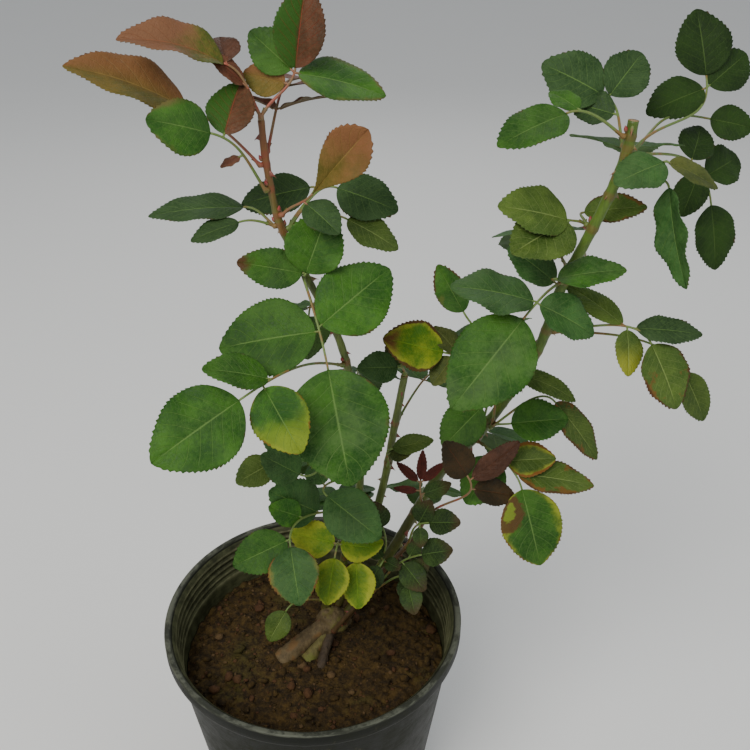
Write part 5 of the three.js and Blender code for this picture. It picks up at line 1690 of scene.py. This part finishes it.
class RoseColours(bpy.types.PropertyGroup):
    green_deep: colour_of("Green, deep", "Shaded parts of a mature leaflet", (0.012, 0.056, 0.004))
    green_light: colour_of("Green, light", "Lit parts of a mature leaflet", (0.044, 0.132, 0.009))
    blue_deep: colour_of("Blue-green, deep", "Shaded parts of a dusty leaflet", (0.014, 0.054, 0.009))
    blue_light: colour_of("Blue-green, light", "Lit parts of a dusty leaflet", (0.040, 0.110, 0.023))
    pale_deep: colour_of("Pale green, deep", "Shaded parts of a pale leaflet", (0.034, 0.070, 0.008))
    pale_light: colour_of("Pale green, light", "Lit parts of a pale leaflet", (0.080, 0.130, 0.018))
    yellow_deep: colour_of("Yellow, deep", "Greener parts of a yellowed leaflet", (0.060, 0.130, 0.006))
    yellow_light: colour_of("Yellow, light", "Yellow parts of a yellowed leaflet", (0.190, 0.235, 0.012))
    olive_deep: colour_of("Olive, deep", "Shaded parts of a tired leaflet", (0.030, 0.044, 0.007))
    olive_light: colour_of("Olive, light", "Lit parts of a tired leaflet", (0.080, 0.092, 0.017))
    red_deep: colour_of("Red, deep", "Darker parts of a young red leaflet", (0.090, 0.032, 0.016))
    red_light: colour_of("Red, light", "Lighter parts of a young red leaflet", (0.175, 0.074, 0.038))
    orange_deep: colour_of("Orange, deep", "Greener parts of an orange leaflet", (0.080, 0.074, 0.009))
    orange_light: colour_of("Orange, light", "Orange parts of an orange leaflet", (0.170, 0.112, 0.022))
    bronze_deep: colour_of("Bronze, deep", "Darker parts of a bronze leaflet", (0.014, 0.011, 0.003))
    bronze_light: colour_of("Bronze, light", "Lighter parts of a bronze leaflet", (0.044, 0.026, 0.008))
    vein: colour_of("Veins", "Veins of a green leaflet", (0.130, 0.230, 0.055))
    left_cane: colour_of("Left cane", "Bark of the left and middle canes", (0.125, 0.170, 0.028))
    right_cane: colour_of("Right cane", "Bark of the right cane", (0.085, 0.150, 0.012))
    shoot: colour_of("Shoot", "Bark of the young shoot", (0.150, 0.085, 0.036))
    pot_plastic: colour_of("Pot", "The pot's plastic", (0.004, 0.005, 0.003))
    pot_dust: colour_of("Pot dust", "Dust on the pot", (0.018, 0.020, 0.008))
    soil_dark: colour_of("Soil, dark", "Clefts of the soil", (0.014, 0.008, 0.002))
    soil_light: colour_of("Soil, light", "Crumbs of the soil", (0.066, 0.038, 0.008))
    moss: colour_of("Moss", "Green film on the soil", (0.044, 0.044, 0.008))


class RoseStageSettings(bpy.types.PropertyGroup):
    floor_size: length_of("Floor size", "Side of the floor", 30.0)
    sky: FloatProperty(name="Sky", description="Strength of the pale sky", default=0.5, min=0)
    key_power: FloatProperty(name="Key light", description="Soft light", default=42, min=0, unit="POWER")
    fill_power: FloatProperty(name="Fill light", description="Side light", default=6, min=0, unit="POWER")


SETTINGS = {
    "rose_pot": RosePotSettings,
    "rose_soil": RoseSoilSettings,
    "rose_cane": RoseCaneSettings,
    "rose_leaf": RoseLeafSettings,
    "rose_colours": RoseColours,
    "rose_stage": RoseStageSettings,
}


# Pieces, one operator each


class ROSE_OT_pot(bpy.types.Operator):
    """The nursery pot: a turned wall with a rim band and inner rings, on a pierced floor."""

    bl_idname = "rose.pot"
    bl_label = "Build the pot"

    def execute(self, context):
        scene = context.scene
        profile, marks = pot_wall_profile(scene.rose_pot)
        rows = len(profile)
        turn = circle(CLOSED_SIDES)
        spoke = np.stack([np.cos(turn), -np.sin(turn), np.zeros(CLOSED_SIDES)], axis=-1)
        rings = profile[:, 0, None, None] * spoke + profile[:, 1, None, None] * vector((0, 0, 1))
        run = np.concatenate([[0], np.cumsum(np.linalg.norm(np.diff(profile, axis=0), axis=1))])
        book = Book()
        book.add(rings, ring_quads(rows, CLOSED_SIDES), ring_uvs(rows, CLOSED_SIDES, run), marks)
        holes = []
        for z, outer, flip, mark in ((0, profile[0, 0], True, 0.0), (FLOOR, profile[-1, 0], False, 1.0)):
            plates, quads = floor_plate(z, outer, flip)
            for plate in plates:
                book.add(plate, quads, plate[..., :2] * MM, mark)
            disc = FLOOR_DISC * spoke + vector((0, 0, z))
            book.add(disc, cap_quads(0, CLOSED_SIDES, not flip), disc[:, :2] * MM, mark)
            holes.append([plate[-1] for plate in plates])
        for below, above in zip(*holes):
            wall = np.stack([above, below])
            book.add(wall, ring_quads(2, wall.shape[1]), wall[..., :2] * MM)
        book.piece("nursery_pot", [pot_skin(scene.rose_colours)], "pot", ("pot",), merge=True)
        return {"FINISHED"}


class ROSE_OT_soil(bpy.types.Operator):
    """The soil with its crumbs, and loose clods lying on it."""

    bl_idname = "rose.soil"
    bl_label = "Build the soil"

    def execute(self, context):
        scene = context.scene
        colours = scene.rose_colours
        book = Book()
        rings = soil_rings(scene.rose_soil)
        book.sleeve(rings, rings[..., :2] * MM)
        book.piece("potting_soil", [soil_skin("damp_soil", colours)], "soil", ("soil",))
        clods = Book()
        rng = np.random.default_rng(CLOD_SEED)
        top = float(wall_radius(SOIL_LEVEL)) - WALL - CLOD_INSET
        for k in range(scene.rose_soil.clods):
            radius, angle = top * math.sqrt(rng.uniform(CLOD_HUB, 1)), rng.uniform(0, 2 * np.pi)
            x, y = radius * math.cos(angle), radius * math.sin(angle)
            size = rng.uniform(*(SMALL_CLOD_SIZE if k > BIG_CLODS else BIG_CLOD_SIZE))
            centre = vector((x, y, SOIL_LEVEL + float(clod(x, y)) + CLOD_LIFT * size))
            lump = crumb_rings(centre, size, rng)
            clods.sleeve(lump, lump[..., :2] * MM, finish=int(rng.choice(3, p=CLOD_KINDS)))
        skins = [
            soil_skin("dark_clods", colours),
            soil_skin("reddish_clods", colours, REDDISH_CLOD, 0.6),
            soil_skin("tan_flakes", colours, TAN_FLAKE, 0.6),
        ]
        clods.piece("loose_clods", skins, "soil")
        return {"FINISHED"}


class ROSE_OT_crown(bpy.types.Operator):
    """The knob of old wood on its three bared legs."""

    bl_idname = "rose.crown"
    bl_label = "Build the crown"

    def execute(self, context):
        book = Book()
        for k, rings in enumerate([*map(leg_rings, LEGS), knob_rings()]):
            book.sleeve(rings, np.linspace(0, 1, len(rings)), finish=k)
        skins = [old_bark_skin(name, *look) for name, look in OLD_BARKS.items()]
        book.piece("old_crown", skins, "crown", ("crown",))
        return {"FINISHED"}


class ROSE_OT_canes(bpy.types.Operator):
    """The canes, the young shoot and the spur, swollen at each leaf scar, two of them pruned."""

    bl_idname = "rose.canes"
    bl_label = "Build the canes"

    def execute(self, context):
        scene = context.scene
        colours = scene.rose_colours
        left, right, shoot = map(tuple, (colours.left_cane, colours.right_cane, colours.shoot))
        skins = [
            cane_skin("left_cane_bark", left, 0.5, CANE_BLUSH, 0.5, young=0.33),
            cane_skin("middle_cane_bark", left, 0.5, CANE_BLUSH, 0.4),
            cane_skin("right_cane_bark", right, 0.55, RIGHT_BLUSH, 0.4, old=0.30),
            cane_skin("young_bark", shoot, 0.5, SHOOT_BLUSH, 0.9),
            cut_skin(),
        ]
        book = Book()
        cut = len(skins) - 1
        for k, key in enumerate(CANES):
            rings, along, blush = cane_rings(key, scene.rose_cane)
            book.sleeve(rings, along * MM, blush, min(k, cut - 1), end_finish=cut)
        names = [name for cane in CANES.values() for name in cane["names"]]
        book.piece("canes_and_shoots", skins, "canes", names)
        return {"FINISHED"}


class ROSE_OT_thorns(bpy.types.Operator):
    """Hooked thorns along every cane, and the buds in the leaf axils."""

    bl_idname = "rose.thorns"
    bl_label = "Build the thorns and buds"

    def execute(self, context):
        book = Book()
        along = np.linspace(0, 1, PRICKLE_ROWS)
        full = context.scene.rose_cane.thorn_height / MM
        for key, (count, low, high, share, finish) in THORNS.items():
            rng = np.random.default_rng(THORN_SEED + count)
            line = FINE_LINES[key]
            places = np.linspace(low, high, count) + rng.uniform(-THORN_SCATTER, THORN_SCATTER, count)
            for k, s in enumerate(places):
                way, centre = line.way(s), line.at(s)
                level = unit(np.cross(way, vector((0, -1, 0))))
                angle = (k % 2) * math.pi + rng.uniform(-THORN_SWING, THORN_SWING)
                if k % 4 == 3:
                    angle += math.pi / 2
                out = math.cos(angle) * level + math.sin(angle) * np.cross(way, level)
                foot = centre + out * float(cane_radius(key, s)) * THORN_FOOT
                height = full * share * rng.uniform(*THORN_SHARES)
                rings = prickle_rings(foot, out, way, height)
                own = rng.uniform() < THORN_OWN_FINISH
                book.sleeve(rings, along, along, finish if own else RED_THORN)
        for key in CANES:
            for number, spray in NUMBERED:
                if spray["on"] == key and spray["at"] < 1:
                    petiole = grown(number, spray)[0][0]
                    way, out = FINE_LINES[key].way(spray["at"]), petiole["out"]
                    rings = bud_rings(petiole["foot"] + BUD_ABOVE * way - BUD_SUNK * out, out, way)
                    book.sleeve(rings, along, along, RED_BUD)
        skins = [thorn_skin(name, *look) for name, look in THORN_LOOKS.items()]
        book.piece("thorns_and_buds", skins, "canes")
        return {"FINISHED"}


class ROSE_OT_stalks(bpy.types.Operator):
    """Leaf stalks with their stipules and the short stalks of their leaflets."""

    bl_idname = "rose.stalks"
    bl_label = "Build the leaf stalks"

    def execute(self, context):
        scene = context.scene
        book = Book()
        for number, spray in NUMBERED:
            petioles, leaflets = grown(number, spray)
            rosy = 1 if spray["tint"] in ("red", "orange", "bronze") else 0
            for k, petiole in enumerate(petioles):
                add_petiole(book, petiole, rosy)
                for hand in (1, -1):
                    wing = stipule(petiole, hand, STIPULE_SEED + number + k)
                    add_blade(book, wing, scene.rose_leaf, True, {"stipule": (2, 2)})
            for leaf in leaflets:
                if not np.array_equal(leaf["root"], leaf["base"]):
                    add_stalklet(book, leaf, rosy)
        look = leaf_looks(scene.rose_colours)["stipule"]
        skins = [
            stalk_skin("leaf_stalk", (0.120, 0.180, 0.040), (0.24, 0.07, 0.030), 0.6),
            stalk_skin("rosy_stalk", (0.19, 0.115, 0.05), (0.30, 0.07, 0.045), 0.9),
            leaf_skin("stipules", look, scene.rose_leaf.vein_pairs),
        ]
        book.piece("leaf_stalks", skins, "leaves_green")
        return {"FINISHED"}


class ROSE_OT_leaves(bpy.types.Operator):
    """All leaflets, in one piece for each part of the bush."""

    bl_idname = "rose.leaves"
    bl_label = "Build the leaves"

    def execute(self, context):
        scene = context.scene
        sizes = scene.rose_leaf
        looks = leaf_looks(scene.rose_colours)
        skins = {}
        grouped = [name for _, names in LEAF_PIECES.values() for name in names]
        if sorted(grouped) != sorted(spray["name"] for _, spray in NUMBERED):
            raise ValueError("every spray belongs to one piece of leaves")
        for piece, (slot, names) in LEAF_PIECES.items():
            book = Book()
            materials, slots = [], {}
            for number, spray in NUMBERED:
                if spray["name"] not in names:
                    continue
                for leaf in grown(number, spray)[1]:
                    finish = leaf["finish"]
                    if finish not in skins:
                        skins[finish] = (
                            leaf_skin(f"{finish}_leaf", looks[finish], sizes.vein_pairs),
                            leaf_skin(f"{finish}_underside", looks[finish], sizes.vein_pairs, under=True),
                        )
                    if finish not in slots:
                        slots[finish] = (len(materials), len(materials) + 1)
                        materials += skins[finish]
                    add_blade(book, leaf, sizes, "leaves" not in spray, slots)
            book.piece(piece, materials, slot, names)
        return {"FINISHED"}


class ROSE_OT_stage(bpy.types.Operator):
    """The camera, a pale floor, a pale sky and large soft lights."""

    bl_idname = "rose.stage"
    bl_label = "Set the stage"

    def execute(self, context):
        scene = context.scene
        settings = scene.rose_stage
        camera = bpy.data.objects.new("camera", bpy.data.cameras.new("camera"))
        camera.data.sensor_width = CAMERA_SENSOR
        camera.data.lens = CAMERA_LENS
        camera.data.clip_start = CAMERA_NEAREST
        camera.location = CAMERA_PLACE
        camera.rotation_euler = (math.radians(90 - CAMERA_PITCH), 0, 0)
        scene.collection.objects.link(camera)
        scene.camera = camera
        half = settings.floor_size / 2
        corners = [(-half, -half, 0), (half, -half, 0), (half, half, 0), (-half, half, 0)]
        mesh = bpy.data.meshes.new("floor")
        mesh.from_pydata(corners, [], [(0, 1, 2, 3)])
        mesh.materials.append(stage_skin())
        floor = bpy.data.objects.new("floor", mesh)
        scene.collection.objects.link(floor)
        world = bpy.data.worlds.new("pale_sky")
        world.use_nodes = True
        sky = world.node_tree.nodes["Background"]
        sky.inputs[0].default_value = (*SKY_COLOUR, 1)
        sky.inputs[1].default_value = settings.sky
        scene.world = world
        powers = {"key": settings.key_power, "fill": settings.fill_power, "rear": settings.fill_power}
        for name, (place, size, colour) in LIGHTS.items():
            light = bpy.data.lights.new(name, "AREA")
            light.shape = "DISK"
            light.size = size
            light.energy = powers[name]
            light.color = colour
            lamp = bpy.data.objects.new(name, light)
            lamp.location = place
            away = Vector(LIGHTS_MEET) - Vector(place)
            lamp.rotation_euler = away.to_track_quat("-Z", "Y").to_euler()
            scene.collection.objects.link(lamp)
        return {"FINISHED"}


OPERATORS = (
    ROSE_OT_stage,
    ROSE_OT_pot,
    ROSE_OT_soil,
    ROSE_OT_crown,
    ROSE_OT_canes,
    ROSE_OT_thorns,
    ROSE_OT_stalks,
    ROSE_OT_leaves,
)


class ROSE_PT_panel(bpy.types.Panel):
    """Sizes and colours of the rose bush, and a button for each of its pieces."""

    bl_idname = "ROSE_PT_panel"
    bl_label = "Rose bush"
    bl_space_type = "VIEW_3D"
    bl_region_type = "UI"
    bl_category = "Rose bush"

    def draw(self, context):
        for operator in OPERATORS:
            self.layout.operator(operator.bl_idname)
        for key, group in SETTINGS.items():
            box = self.layout.box()
            for entry in group.__annotations__:
                box.prop(getattr(context.scene, key), entry)


def register():
    for group in SETTINGS.values():
        bpy.utils.register_class(group)
    for key, group in SETTINGS.items():
        setattr(bpy.types.Scene, key, PointerProperty(type=group))
    for operator in OPERATORS:
        bpy.utils.register_class(operator)
    bpy.utils.register_class(ROSE_PT_panel)


def unregister():
    bpy.utils.unregister_class(ROSE_PT_panel)
    for operator in reversed(OPERATORS):
        bpy.utils.unregister_class(operator)
    for key, group in SETTINGS.items():
        delattr(bpy.types.Scene, key)
        bpy.utils.unregister_class(group)


def main():
    register()
    for operator in OPERATORS:
        group, name = operator.bl_idname.split(".")
        getattr(getattr(bpy.ops, group), name)()


if __name__ == "__main__":
    main()
